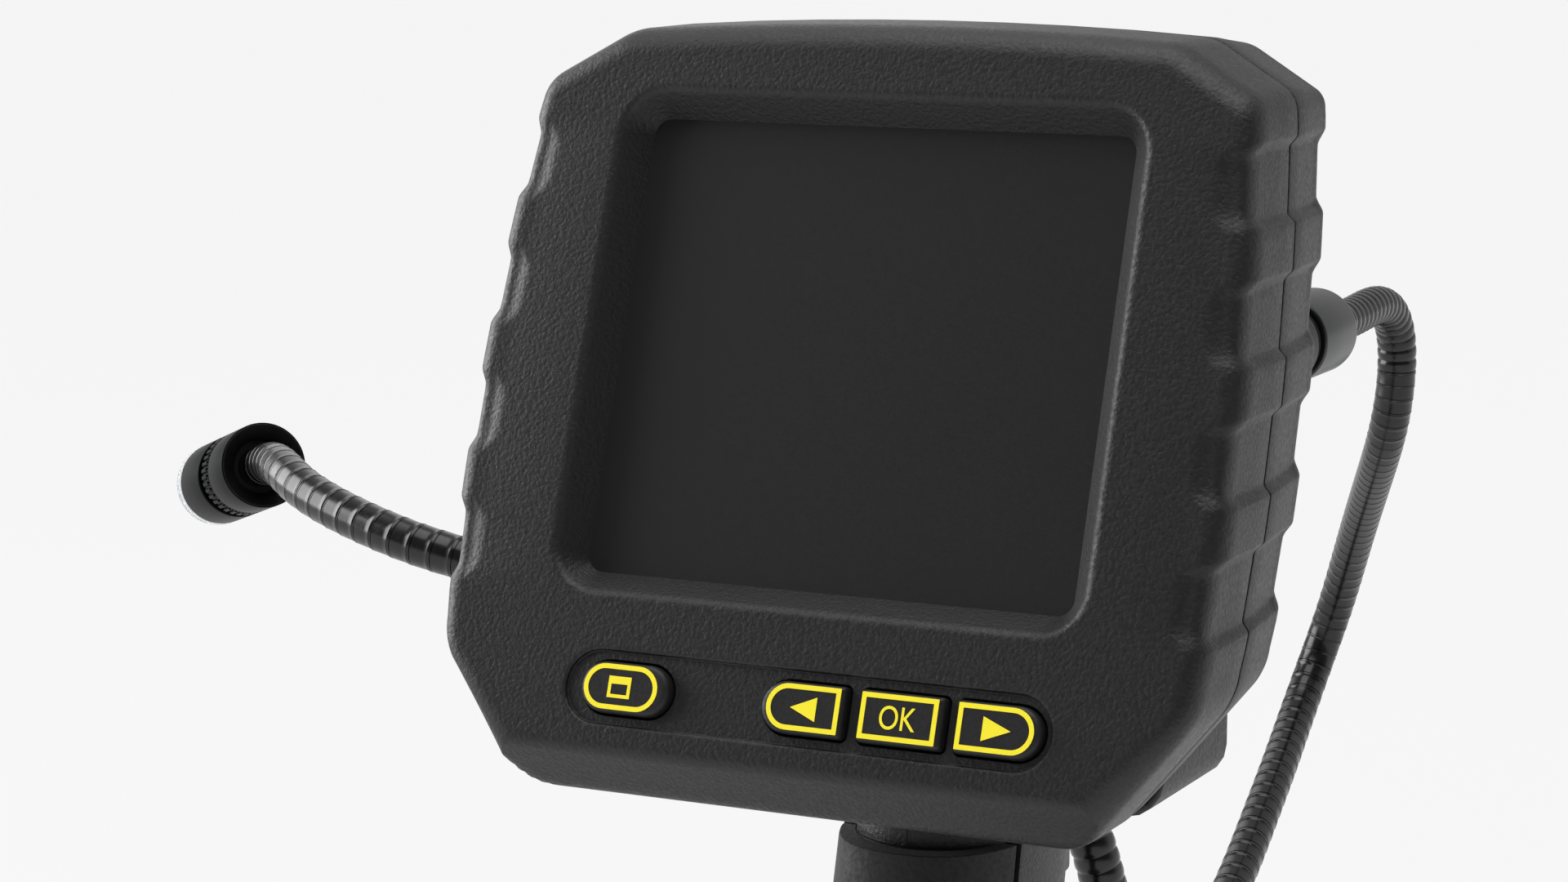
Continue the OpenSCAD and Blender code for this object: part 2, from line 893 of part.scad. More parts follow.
module control_board() {
  z = ledge_z + ledge_h;
  color("#1f5a34") {
    translate([-board_half_w, board_y, z])
      cube([2 * board_half_w, board_len, 1.6]);
    translate([-12, board_y + 8, z + 1.5])
      cube([14, 14, 1.7]);
    translate([-6, board_y + board_len - 9, z + 1.5])
      cube([12, 7, 6]);
    translate([4, board_y + 26, z + 1.5])
      cube([9, 7, 1.5]);
  }
}

module dimmer_wheel() {
  ridges = 24;
  color("#1a1a1c")
    translate([-wheel_w / 2, wheel_y, wheel_z])
      rotate([0, 90, 0])
        difference() {
          linear_extrude(wheel_w)
            polygon([
              for (i = [0:4 * ridges - 1])
                let (r = wheel_r - (i % 4 < 2 ? 0 : 0.6), a = 90 * i / ridges)
                [r * cos(a), r * sin(a)]
            ]);
          translate([0, 0, -1])
            cylinder(r = axle_r + fit_gap, h = wheel_w + 2);
        }
}

module dimmer_axle() {
  color("#b8bcc0")
    across(wheel_y, wheel_z, -axle_half_len, axle_half_len, axle_r);
}

// Battery: a tub and a cover with a rail that slides into the foot from the front
rail_y0 = 13 - battery_l / 2;
rail_y1 = battery_l / 2 - 6;
rail_stem_half_w = rail_half_w - 5;
rail_neck_z = battery_h + 6.4;
rail_head_h = 4;
case_h = 28;
contact_xs = [-8, 0, 8];
cell_r = 9.1;
cell_len = 65.2;
cell_pitch = 18.7;
cell_z = battery_wall + cell_r + fit_gap;
battery_board_z = cell_z + cell_r + fit_gap;
release_z = case_h + 9.3;
release_w = 20;
release_h = 8;

module battery_block(z0, z1, d) {
  translate([0, 0, z0])
    linear_extrude(z1 - z0)
      round_rect(battery_w - 2 * d, battery_l - 2 * d, 8 - d * 0.8);
}

module battery_case() {
  color("#2c2c2e")
    difference() {
      union() {
        battery_block(0, 2.2, 1.6);
        battery_block(2.2 - eps, case_h, 0);
      }
      battery_block(battery_wall, case_h + 1, battery_wall);
    }
}

module battery_cover() {
  z0 = case_h + 0.4;
  color("#333336")
    difference() {
      union() {
        battery_block(z0, battery_h - 3.5, 0);
        battery_block(z0, battery_h, 3);
        translate([-rail_stem_half_w, rail_y0, battery_h - 1])
          cube([2 * rail_stem_half_w, rail_y1 - rail_y0, rail_neck_z - battery_h + 1.5]);
        translate([-rail_half_w, rail_y0, rail_neck_z])
          cube([2 * rail_half_w, rail_y1 - rail_y0, rail_head_h]);
      }
      battery_block(z0 - 1, battery_h - 3.6, battery_wall);
      for (x = contact_xs)
        translate([x - 1.2, rail_y0 - 1, battery_h - 5])
          cube([2.4, 10, 30]);
      translate([-release_w / 2 - running_gap, 20, release_z - release_h / 2 - running_gap])
        cube([release_w + 2 * running_gap, 50, release_h + 2 * running_gap]);
    }
}

module battery_cells() {
  color("#3d7fa6")
    for (i = [-1:1])
      translate([i * cell_pitch, -cell_len / 2, cell_z])
        rotate([-90, 0, 0])
          cylinder(r = cell_r, h = cell_len);
}

module battery_board() {
  color("#1f5a34")
    translate([-22, rail_y0 - 3, battery_board_z])
      cube([44, 30 - rail_y0 + 3, 1.6]);
}

module battery_contacts() {
  z0 = battery_board_z + 1.6;
  z1 = rail_neck_z + rail_head_h - 0.6;
  color("#c8a24a")
    for (x = contact_xs) {
      translate([x - 1, rail_y0 + 1, z0])
        cube([2, 7, 2]);
      for (s = [-1, 1])
        translate([x + s * 0.8 - 0.2, rail_y0 + 1, z0])
          cube([0.4, 7, z1 - z0]);
    }
}

module battery_terminals() {
  color("#b58b35") {
    translate([-11, rail_y0 - 3, rail_neck_z])
      cube([22, 2.4, rail_head_h]);
    for (x = contact_xs)
      translate([x - 0.25, rail_y0 - 1, rail_neck_z + 0.8])
        cube([0.5, 8, 2.4]);
  }
}

module battery_release() {
  front = battery_l / 2;
  inner = front - battery_wall - running_gap;
  color("#1d1d1f") {
    translate([-release_w / 2, inner - 1.8, release_z - release_h / 2])
      cube([release_w, front + 1.6 - inner + 1.8, release_h]);
    translate([-release_w / 2 - 2, inner - 1.8, release_z - release_h / 2 - 1.2])
      cube([release_w + 4, 1.8, release_h + 2.4]);
  }
}

// Cable coupling on the nose
plug_y = nose_y + 13;
plug_flange = 2.8;
hose_y = plug_y + plug_flange;
nut_y = nose_y + 4.3;
plug_r = 6.42;
nut_inner_r = 6.5;

module cable_socket() {
  y0 = barrel_end_y - socket_flange;
  color("#242426")
    turned_along_y(nose_z)
      polygon([
        [3, y0], [8, y0], [8, barrel_end_y], [socket_r, barrel_end_y], [socket_r, nut_y],
        [5, nut_y + 0.6], [5, plug_y], [3, plug_y]
      ]);
}

module neck_seal() {
  color("#111111")
    turned_along_y(nose_z)
      translate([socket_r + 0.02, nose_y + 0.2])
        square([1.2, 3.6]);
}

module coupling_nut() {
  y1 = nut_y + nut_len;
  edge = 2.4;
  step_y = hose_y + 0.3;
  color("#55565a")
    turned_along_y(nose_z)
      polygon(concat(
        [[nut_inner_r, nut_y], [nut_r - 0.5, nut_y], [nut_r, nut_y + 0.5]],
        [for (i = [0:6]) [nut_r - edge + edge * cos(15 * i), y1 - edge + edge * sin(15 * i)]],
        [[hose_d / 2 + 0.45, y1], [hose_d / 2 + 0.45, step_y], [nut_inner_r, step_y]]
      ));
}

module cable_plug() {
  color("#2a2a2c")
    turned_along_y(nose_z)
      polygon([
        [1.6, nut_y + 1], [2.9, nut_y + 1], [2.9, plug_y + eps], [plug_r, plug_y + eps],
        [plug_r, hose_y], [1.6, hose_y]
      ]);
}

// Camera head: its rear rim stands at head_pos and it points along head_dir
head_pos = [-180, 79, 170];
head_dir = unit([-0.725, 0.641, -0.251]);
hose_seat = 4.4;
core_out_r = 6.5;
core_in_r = 4;
cap_len = 6.2;
knurl_z = head_sleeve_len + 0.3;
seal_z = knurl_z + knurl_len + 0.3;
seal_len = 2.6;
barrel_start = seal_z + seal_len;
lens_z = barrel_start + head_barrel_len;

module in_head() {
  translate(head_pos)
    rotate([0, acos(head_dir.z), atan2(head_dir.y, head_dir.x)])
      children();
}

module turned_in_head() {
  in_head()
    rotate_extrude()
      children();
}

module head_end_cap() {
  r = head_r - 0.6;
  hole = hose_d / 2 + 1.25;
  color("#141414")
    turned_in_head()
      polygon([
        [r - 0.3, 0], [r, 0], [r, cap_len], [2.5, cap_len], [2.5, hose_seat], [hole, hose_seat],
        [hole, 2.4]
      ]);
}

module head_rear_sleeve() {
  r = head_r - 0.58;
  e = core_out_r + 0.02;
  color("#4c4d50")
    turned_in_head()
      polygon([
        [r, 0], [head_r - 0.2, 0], [head_r, 0.3], [head_r, head_sleeve_len - 0.3],
        [head_r - 0.3, head_sleeve_len], [e, head_sleeve_len], [e, cap_len], [r, cap_len]
      ]);
}

module head_core() {
  color("#707276")
    turned_in_head()
      translate([core_in_r, cap_len])
        square([core_out_r - core_in_r, lens_z - cap_len]);
}

module knurled_ring() {
  color("#505155")
    in_head()
      translate([0, 0, knurl_z])
        difference() {
          linear_extrude(knurl_len)
            polygon([
              for (i = [0:2 * knurl_count - 1])
                let (r = head_r - (i % 2) * 0.5, a = 180 * i / knurl_count)
                [r * cos(a), r * sin(a)]
            ]);
          translate([0, 0, -1])
            cylinder(r = core_out_r + 0.06, h = knurl_len + 2);
        }
}

module head_seal() {
  color("#101010")
    turned_in_head()
      translate([core_out_r + 0.02, seal_z])
        square([head_r - 0.9 - core_out_r, seal_len]);
}

module head_barrel() {
  e = core_out_r + 0.02;
  color("#4c4d50")
    turned_in_head()
      polygon([
        [e, barrel_start], [head_r - 0.3, barrel_start], [head_r, barrel_start + 0.3],
        [head_r, lens_z], [e, lens_z]
      ]);
}

module lens_ring() {
  r = head_r;
  z1 = lens_z + lens_ring_len;
  color("#e8eef2")
    turned_in_head()
      polygon([
        [6.6, lens_z], [r, lens_z], [r, z1 - 0.8], [r - 0.8, z1], [4.95, z1], [4.95, lens_z + 2.2],
        [6.6, lens_z + 2.2]
      ]);
}

module lens_window() {
  color("#c9dbe6")
    in_head()
      translate([0, 0, lens_z + 2.3])
        cylinder(r = 4.9, h = 1.4);
}

module camera_module() {
  color("#202124")
    in_head()
      translate([0, 0, lens_z - 9])
        difference() {
          cylinder(r = core_in_r - fit_gap, h = 11);
          translate([0, 0, 10.2])
            cylinder(r1 = 1.6, r2 = 3, h = 1);
        }
}

module led_board() {
  color("#e9e9e4")
    turned_in_head()
      translate([core_in_r + fit_gap, lens_z + fit_gap])
        square([2.3, 0.85]);
}

module leds() {
  color("#fff6d8")
    in_head()
      for (i = [0:5])
        rotate(60 * i)
          translate([5.25, 0, lens_z + fit_gap + 0.85])
            cylinder(r = 0.8, h = 1.1);
}

// Gooseneck: route by hand, from the plug on the nose to the seat in the camera head
route = [
  [0, hose_y, nose_z],
  [0, hose_y + 9, nose_z],
  [0, hose_y + 18, nose_z],
  [0, 192, 196],
  [0, 203, 197],
  [0, 213.5, 196],
  [0, 221, 190],
  [0, 222, 181],
  [-1, 222, 172],
  [-5, 229, 163],
  [-12.5, 245, 152],
  [-21.5, 263, 137],
  [-28.5, 274, 121],
  [-33, 273, 107],
  [-33, 260, 97],
  [-30.5, 243, 91],
  [-28.5, 225, 84],
  [-26.5, 206, 76],
  [-25, 185, 69],
  [-22, 160, 63],
  [-17, 132, 62],
  [-10, 106, 68],
  [-2, 83, 80],
  [2, 67, 97],
  [2, 58, 116],
  [-4, 57, 134],
  [-18, 58, 145],
  [-40, 58, 150],
  [-65, 57, 153],
  [-88, 54, 156.5],
  [-107, 51, 160],
  [-123.5, 49.5, 163],
  [-133, 50.3, 165],
  [-142, 52.5, 166.8],
  [-151, 55.8, 168.6],
  [-159.7, 60.3, 170.5],
  [-167.3, 66.6, 172.2],
  head_pos - 8 * head_dir,
  head_pos,
  head_pos + hose_seat * head_dir
];
path_steps = 6;
tube_sides = 8;

// Smooth curve guided by four route points, straight where they lie on a line
function spline(a, b, c, d, t) =
  (pow(1 - t, 3) * a + (3 * t * t * t - 6 * t * t + 4) * b
    + (-3 * t * t * t + 3 * t * t + 3 * t + 1) * c + t * t * t * d) / 6;
function route_at(i) = route[min(max(i, 0), len(route) - 1)];
path = concat(
  [
    for (i = [0:len(route) - 2])
      for (k = [0:path_steps - 1])
        spline(
          i == 0 ? 2 * route[0] - route[1] : route_at(i - 1),
          route_at(i),
          route_at(i + 1),
          i == len(route) - 2 ? 2 * route[i + 1] - route[i] : route_at(i + 2),
          k / path_steps
        )
  ],
  [route[len(route) - 1]]
);
distance = [for (i = 0, s = 0; i < len(path); i = i + 1, s = i < len(path) ? s + norm(path[i] - path[i - 1]) : s) s];
hose_len = distance[len(path) - 1];
path_x = [for (i = [0:len(path) - 1]) [distance[i], path[i].x]];
path_y = [for (i = [0:len(path) - 1]) [distance[i], path[i].y]];
path_z = [for (i = [0:len(path) - 1]) [distance[i], path[i].z]];
function along(s) = [lookup(s, path_x), lookup(s, path_y), lookup(s, path_z)];
function heading(s) = unit(along(min(s + 2, hose_len)) - along(max(s - 2, 0)));

// Cross directions at stations along the path, carried along without twisting
function carried(stations) =
  [for (
    i = 0, v = [1, 0, 0];
    i < len(stations);
    i = i + 1,
    t = heading(stations[min(i, len(stations) - 1)]),
    v = unit(v - (v * t) * t)
  ) v];
function tube_rings(stations, radii) =
  let (side = carried(stations))
  [for (i = [0:len(stations) - 1])
    let (p = along(stations[i]), t = heading(stations[i]), up = cross(side[i], t))
    [for (k = [0:tube_sides - 1])
      let (a = 360 * k / tube_sides)
      p + radii[i] * (cos(a) * side[i] + sin(a) * up)]];

rib_count = floor(hose_len / rib_pitch);
rib_stations = [for (i = [0:2 * rib_count]) hose_len * i / (2 * rib_count)];
rib_radii = [for (i = [0:2 * rib_count]) hose_d / 2 - (i % 2) * rib_depth];
bore_count = floor(rib_count / 2);
bore_stations = [for (i = [0:bore_count]) hose_len * i / bore_count];

function skin_faces(rings, first, flip) = [
  for (k = [0:rings - 2])
    for (i = [0:tube_sides - 1])
      let (a = first + k * tube_sides + i, b = first + k * tube_sides + (i + 1) % tube_sides, n = tube_sides)
      each flip ? [[a, b + n, b], [a, a + n, b + n]] : [[a, b, b + n], [a, b + n, a + n]]
];

module hollow_tube(outer, inner) {
  m = len(outer) * tube_sides;
  o1 = m - tube_sides;
  n1 = m + (len(inner) - 1) * tube_sides;
  caps = [
    for (i = [0:tube_sides - 1])
      let (j = (i + 1) % tube_sides)
      each [
        [j, i, m + i], [j, m + i, m + j],
        [o1 + i, o1 + j, n1 + j], [o1 + i, n1 + j, n1 + i]
      ]
  ];
  polyhedron(
    [for (r = concat(outer, inner)) each r],
    concat(skin_faces(len(outer), 0, false), skin_faces(len(inner), m, true), caps)
  );
}

module gooseneck() {
  color("#1b1b1c")
    hollow_tube(
      tube_rings(rib_stations, rib_radii),
      tube_rings(bore_stations, [for (s = bore_stations) hose_bore / 2])
    );
}

module camera_wires() {
  color("#7a1f1f")
    loft(tube_rings(bore_stations, [for (s = bore_stations) hose_bore / 2 - 0.7]));
}

far = 40;
self_gap = min([
  for (i = [0:2:len(path) - 1])
    for (k = [i + 1:2:len(path) - 1])
      if (distance[k] - distance[i] > far) norm(path[i] - path[k])
]) - hose_d;
echo(gooseneck_length = hose_len, ribs = rib_count, least_gap_to_itself = self_gap);

display_front_shell();
display_rear_shell();
shell_seal();
screen_window();
screen_gasket();
lcd_panel();
display_board();
keypad_board();
dome_switches();
display_cell();
display_screws();
menu_button();
left_button();
ok_button();
right_button();
body_left_shell();
body_right_shell();
rear_grip();
dock_plate();
dock_screws();
body_screws();
control_board();
battery_terminals();
dimmer_wheel();
dimmer_axle();
cable_socket();
neck_seal();
coupling_nut();
cable_plug();
gooseneck();
camera_wires();
head_end_cap();
head_rear_sleeve();
head_core();
knurled_ring();
head_seal();
head_barrel();
lens_ring();
lens_window();
camera_module();
led_board();
leds();
battery_case();
battery_cover();
battery_cells();
battery_board();
battery_contacts();
battery_release();
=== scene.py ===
# %% [markdown]
# # A pistol-grip inspection camera
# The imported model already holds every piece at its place, in metres. This lesson gives the pieces their
# looks. The camera comes first, because the whole picture hangs on it, then the finishes, the gooseneck, the
# leaning display with its buttons, the grip and the battery, the collar and the camera head, and the light.

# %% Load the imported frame
import math
import bmesh
import bpy
from mathutils import Matrix, Vector


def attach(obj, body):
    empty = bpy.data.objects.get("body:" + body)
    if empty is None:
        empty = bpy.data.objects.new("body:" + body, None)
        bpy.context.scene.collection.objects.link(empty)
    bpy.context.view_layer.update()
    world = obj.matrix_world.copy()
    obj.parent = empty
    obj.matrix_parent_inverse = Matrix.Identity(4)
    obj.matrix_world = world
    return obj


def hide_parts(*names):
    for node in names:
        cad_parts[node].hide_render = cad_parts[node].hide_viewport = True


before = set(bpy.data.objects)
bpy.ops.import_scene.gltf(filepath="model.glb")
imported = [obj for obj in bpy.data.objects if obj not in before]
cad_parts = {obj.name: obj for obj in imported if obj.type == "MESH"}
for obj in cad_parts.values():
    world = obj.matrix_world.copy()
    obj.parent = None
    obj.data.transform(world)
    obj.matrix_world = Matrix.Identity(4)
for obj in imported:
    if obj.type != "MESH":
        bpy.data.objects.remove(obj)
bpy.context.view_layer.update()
scene = bpy.context.scene
scene.view_settings.view_transform = "Standard"
MM = 0.001

# %% [markdown]
# ## Camera
# The photograph looks down a little and from the right of the screen. A long lens keeps the housing's edges
# nearly parallel. The camera could be turned by hand until the picture fits; here its place and heading were
# worked out from the screen's four corners, so they are plain numbers.

# %% Camera
photo_camera = bpy.data.objects.new("photo_camera", bpy.data.cameras.new("photo_camera"))
scene.collection.objects.link(photo_camera)
photo_camera.data.lens = 87.4
photo_camera.data.sensor_width = 36
photo_camera.location = (0.2293, -0.5217, 0.2904)
heading = Vector((-0.43869, 0.88452, -0.15869))
photo_camera.rotation_euler = heading.to_track_quat("-Z", "Y").to_euler()
scene.camera = photo_camera
print("camera is", round(photo_camera.location.length, 3), "m from the origin")

# %% [markdown]
# ## Colours and nodes
# Every colour is written as the sRGB value that the eye reads, and one function turns it to the linear
# numbers that Blender mixes. A second one adds a node, sets its values and joins its inputs, so that a
# material reads as a short list.

# %% Helpers for materials
def linear(code):
    channels = [int(code[i:i + 2], 16) / 255 for i in (1, 3, 5)]
    return [c / 12.92 if c <= 0.04045 else ((c + 0.055) / 1.055) ** 2.4 for c in channels] + [1.0]


def add(tree, kind, inputs=None, **settings):
    node = tree.nodes.new(kind)
    for key, value in settings.items():
        setattr(node, key, value)
    for key, value in (inputs or {}).items():
        if isinstance(value, bpy.types.NodeSocket):
            tree.links.new(value, node.inputs[key])
        else:
            node.inputs[key].default_value = value
    return node


def start_material(name, **sockets):
    material = bpy.data.materials.new(name)
    material.use_nodes = True
    tree = material.node_tree
    shader = tree.nodes["Principled BSDF"]
    for key, value in sockets.items():
        shader.inputs[key.replace("_", " ")].default_value = value
    return material, tree, shader, add(tree, "ShaderNodeTexCoord").outputs["Object"]


print("white is", linear("#ffffff"))

# %% [markdown]
# ## Moulded skins
# Plastic and rubber copy the surface of the mould that made them. A spark-eroded mould leaves a pebble
# grain, a polished one leaves it smooth. One recipe serves all of them: soft clouds a few centimetres wide
# vary the colour a little, and the grain drives both the roughness and the bump. The grain could be an image,
# but a noise pattern has no seams and its scale is a real size.

# %% Recipe for a moulded skin
cloud_width = 35


def moulded(name, dark, light, grain, depth, smooth, rough, **sockets):
    material, tree, shader, place = start_material(name, **sockets)
    clouds = add(tree, "ShaderNodeTexNoise", {"Vector": place, "Scale": 1 / (cloud_width * MM),
                                              "Detail": 4.0})
    colour = add(tree, "ShaderNodeMix", {0: clouds.outputs["Fac"], 6: linear(dark), 7: linear(light)},
                 data_type="RGBA")
    pebble = add(tree, "ShaderNodeTexNoise", {"Vector": place, "Scale": 1 / (grain * MM), "Detail": 2.0,
                                              "Roughness": 0.5})
    gloss = add(tree, "ShaderNodeMapRange", {"Value": pebble.outputs["Fac"], "From Min": 0.3, "From Max": 0.7,
                                             "To Min": smooth, "To Max": rough})
    bump = add(tree, "ShaderNodeBump", {"Height": pebble.outputs["Fac"], "Strength": 1.0,
                                        "Distance": depth * MM})
    tree.links.new(colour.outputs[2], shader.inputs["Base Color"])
    tree.links.new(gloss.outputs[0], shader.inputs["Roughness"])
    tree.links.new(bump.outputs[0], shader.inputs["Normal"])
    return material


print("clouds of colour, mm:", cloud_width)

# %% Moulded plastics and rubbers
# ABS from a spark-eroded mould: charcoal, with a pebble grain that breaks up the gloss, drawn 0.6 mm wide so
# that it shows
housing_abs = moulded("housing_abs", "#171718", "#1c1c1d", 0.6, 0.13, 0.42, 0.56, IOR=1.5)
# The same resin on the pistol body
body_abs = moulded("body_abs", "#171718", "#1c1c1d", 0.6, 0.13, 0.42, 0.56, IOR=1.5)
# Glass-filled nylon: drier than the housing, with a shallower grain
dark_nylon = moulded("dark_nylon", "#171718", "#1e1e1f", 0.7, 0.06, 0.5, 0.66, IOR=1.52)
# Soft thermoplastic elastomer on the grip: matt, with a faint sheen
grip_elastomer = moulded("grip_elastomer", "#1c1c1d", "#232324", 0.8, 0.1, 0.62, 0.78, IOR=1.48,
                         Sheen_Weight=0.08, Sheen_Roughness=0.5)
# Silicone keys: near black, silky
key_silicone = moulded("key_silicone", "#202021", "#262627", 0.5, 0.04, 0.42, 0.54, IOR=1.43)
# Filled nylon of the dished cap: black with a slight polish
cap_nylon = moulded("cap_nylon", "#0b0b0c", "#101011", 0.6, 0.02, 0.34, 0.46, IOR=1.5)
# Nitrile seals: black and dull
seal_nitrile = moulded("seal_nitrile", "#040404", "#070707", 0.5, 0.03, 0.6, 0.75, IOR=1.3)
# Flexible vinyl jacket of the gooseneck, from a polished mould: black, semi-gloss, almost without grain
hose_vinyl = moulded("hose_vinyl", "#08080a", "#0d0d0e", 0.9, 0.003, 0.22, 0.28, IOR=1.5)
print("moulded materials:", len(bpy.data.materials))

# %% [markdown]
# ## Gooseneck
# The gooseneck is a shape-holding shaft: a steel core in a black vinyl jacket moulded as short sleeves, each
# with a raised lip and a fine groove. It could be an array bent along a curve, but then the ribs stretch in
# the bends. Here rings of points stand along the route, each with the radius that a sleeve has at that place,
# and one net of faces is wrapped round them all, so every rib keeps its width. The sleeves are shorter near
# the collar, near the head and where the shaft rises beside the grip. Near the collar and at the rise they
# are rounded like a bellows.

# %% Route of the gooseneck
head_place = Vector((-180, 79, 170))
head_way = Vector((-0.725, 0.641, -0.251)).normalized()
route = [Vector(p) for p in (
    (0, 162.8, 196), (0, 171.8, 196), (0, 180.8, 196), (0, 192, 196), (0, 203, 197), (0, 213.5, 196),
    (0, 221, 190), (0, 222, 181), (-1, 222, 172), (-5, 229, 163), (-12.5, 245, 152), (-21.5, 263, 137),
    (-28.5, 274, 121), (-33, 273, 107), (-33, 260, 97), (-30.5, 243, 91), (-28.5, 225, 84), (-26.5, 206, 76),
    (-25, 185, 69), (-22, 160, 63), (-17, 132, 62), (-10, 106, 68), (-2, 83, 80), (2, 67, 97), (2, 58, 116),
    (-4, 57, 134), (-18, 58, 145), (-40, 58, 150), (-65, 57, 153), (-88, 54, 156.5), (-107, 51, 160),
    (-123.5, 49.5, 163), (-133, 50.3, 165), (-142, 52.5, 166.8), (-151, 55.8, 168.6), (-159.7, 60.3, 170.5),
    (-167.3, 66.6, 172.2))]
route += [head_place - 8 * head_way, head_place, head_place + 4.4 * head_way]
curve_steps = 12
guides = [2 * route[0] - route[1]] + route + [2 * route[-1] - route[-2]]
line = []
for a, b, c, d in zip(guides, guides[1:], guides[2:], guides[3:]):
    for t in (k / curve_steps for k in range(curve_steps)):
        line.append(((1 - t) ** 3 * a + (3 * t ** 3 - 6 * t ** 2 + 4) * b
                     + (-3 * t ** 3 + 3 * t ** 2 + 3 * t + 1) * c + t ** 3 * d) / 6 * MM)
line.append(route[-1] * MM)
reach = [0.0]
for a, b in zip(line, line[1:]):
    reach.append(reach[-1] + (b - a).length)
hose_length = reach[-1]
print("gooseneck length, m:", round(hose_length, 4))


# %% Rings of points along the route, and a skin through them
def along(s):
    s = min(max(s, 0.0), hose_length)
    k = min(sum(1 for r in reach[1:-1] if r < s), len(line) - 2)
    return line[k].lerp(line[k + 1], (s - reach[k]) / (reach[k + 1] - reach[k]))


def carried_frames(stations):
    side = Vector((1, 0, 0))
    frames = []
    for s in stations:
        way = (along(s + 1.5 * MM) - along(s - 1.5 * MM)).normalized()
        side = (side - side.dot(way) * way).normalized()
        frames.append((along(s), side.copy(), side.cross(way)))
    return frames


def tube_rings(frames, radii, sides):
    circle = [(math.cos(a), math.sin(a)) for a in (2 * math.pi * k / sides for k in range(sides))]
    return [[middle + radius * (x * right + y * up) for x, y in circle]
            for (middle, right, up), radius in zip(frames, radii)]


def loft(bm, rings):
    # A flat grid is bent through the rings and its two side edges are welded; the two open rims come back
    around, up = len(rings[0]), len(rings) - 1
    made = bmesh.ops.create_grid(bm, x_segments=around, y_segments=up, size=1)["verts"]
    net = {(round((v.co.x + 1) / 2 * around), round((v.co.y + 1) / 2 * up)): v for v in made}
    for (k, row), v in net.items():
        v.co = rings[row][k % around]
    bmesh.ops.weld_verts(bm, targetmap={net[around, row]: net[0, row] for row in range(up + 1)})
    rims = [{net[k, row] for k in range(around)} for row in (0, up)]
    return [list({e for v in rim for e in v.link_edges if e.other_vert(v) in rim}) for rim in rims]


print("middle of the gooseneck, m:", along(hose_length / 2))


# %% Finish a mesh as a piece
def finish_piece(bm, name, body, material, replaced=(), sharp=35):
    bmesh.ops.remove_doubles(bm, verts=bm.verts, dist=1e-7)
    bmesh.ops.recalc_face_normals(bm, faces=bm.faces)
    mesh = bpy.data.meshes.new(name)
    bm.to_mesh(mesh)
    bm.free()
    mesh.materials.append(material)
    mesh.shade_smooth()
    mesh.set_sharp_from_angle(angle=math.radians(sharp))
    piece = bpy.data.objects.new(name, mesh)
    scene.collection.objects.link(piece)
    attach(piece, body)
    if replaced:
        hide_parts(*replaced)
    print(name, "faces:", len(mesh.polygons))
    return piece


# %% Where the ribs start
tight_pitch, head_pitch, open_pitch = 2.6, 3.1, 4.2
collar_run, collar_fade = 90, 120
head_fade = 50
rise_middle, rise_half, rise_fade = 405, 45, 60


def ease(a):
    a = min(max(a, 0.0), 1.0)
    return a * a * (3 - 2 * a)


def rib_pitch(s):
    from_collar = ease((s - collar_run) / collar_fade)
    from_rise = ease((abs(s - rise_middle) - rise_half) / rise_fade)
    from_head = ease((hose_length / MM - s) / head_fade)
    return min(tight_pitch + (open_pitch - tight_pitch) * min(from_collar, from_rise),
               head_pitch + (open_pitch - head_pitch) * from_head)


rib_starts = [0.0]
while rib_starts[-1] < hose_length:
    rib_starts.append(rib_starts[-1] + rib_pitch(rib_starts[-1] / MM) * MM)
rib_starts = [start * hose_length / rib_starts[-1] for start in rib_starts]
print("ribs on the gooseneck:", len(rib_starts) - 1)

# %% The ribbed jacket and its bore
hose_radius, bore_radius, hose_sides = 3.95, 2, 24
bore_steps = 110
ripple_run = 66
# Share of a rib's length, and the change of the full radius there in millimetres
sleeve = [(0.0, -0.04), (0.014, -0.24), (0.036, -0.24), (0.05, -0.08), (0.13, -0.09), (0.16, -0.01),
          (0.2, -0.01), (0.24, -0.11), (0.45, -0.11), (0.8, -0.07)]
ripple = [(0.0, -0.26), (0.06, -0.22), (0.2, -0.05), (0.4, 0.0), (0.65, -0.03), (0.85, -0.1), (0.95, -0.2)]


def rib_shape(start):
    rippled = start < ripple_run * MM or abs(start / MM - rise_middle) < rise_half
    return ripple if rippled else sleeve


ribs = [(a, b, rib_shape(a)) for a, b in zip(rib_starts, rib_starts[1:])]
stations = [a + part * (b - a) for a, b, shape in ribs for part, _ in shape] + [hose_length]
radii = [(hose_radius + drop) * MM for _, _, shape in ribs for _, drop in shape] + [hose_radius * MM]
bore_stations = [hose_length * k / bore_steps for k in range(bore_steps + 1)]
outside = tube_rings(carried_frames(stations), radii, hose_sides)
bore = tube_rings(carried_frames(bore_stations), [bore_radius * MM] * len(bore_stations), hose_sides)
bm = bmesh.new()
loft(bm, outside + bore[::-1] + outside[:1])
gooseneck = finish_piece(bm, "gooseneck_jacket", "tool_body", hose_vinyl, ["gooseneck"], 40)

# %% [markdown]
# ## Wires inside the gooseneck
# Four thin wires run from the plug to the camera, twisted together so that bending pulls on none of them.
# Each one could be a curve with a bevel; here it is the same net through rings, with the rings' middles moved
# round the centre line once every 40 mm, so that it follows the jacket exactly.

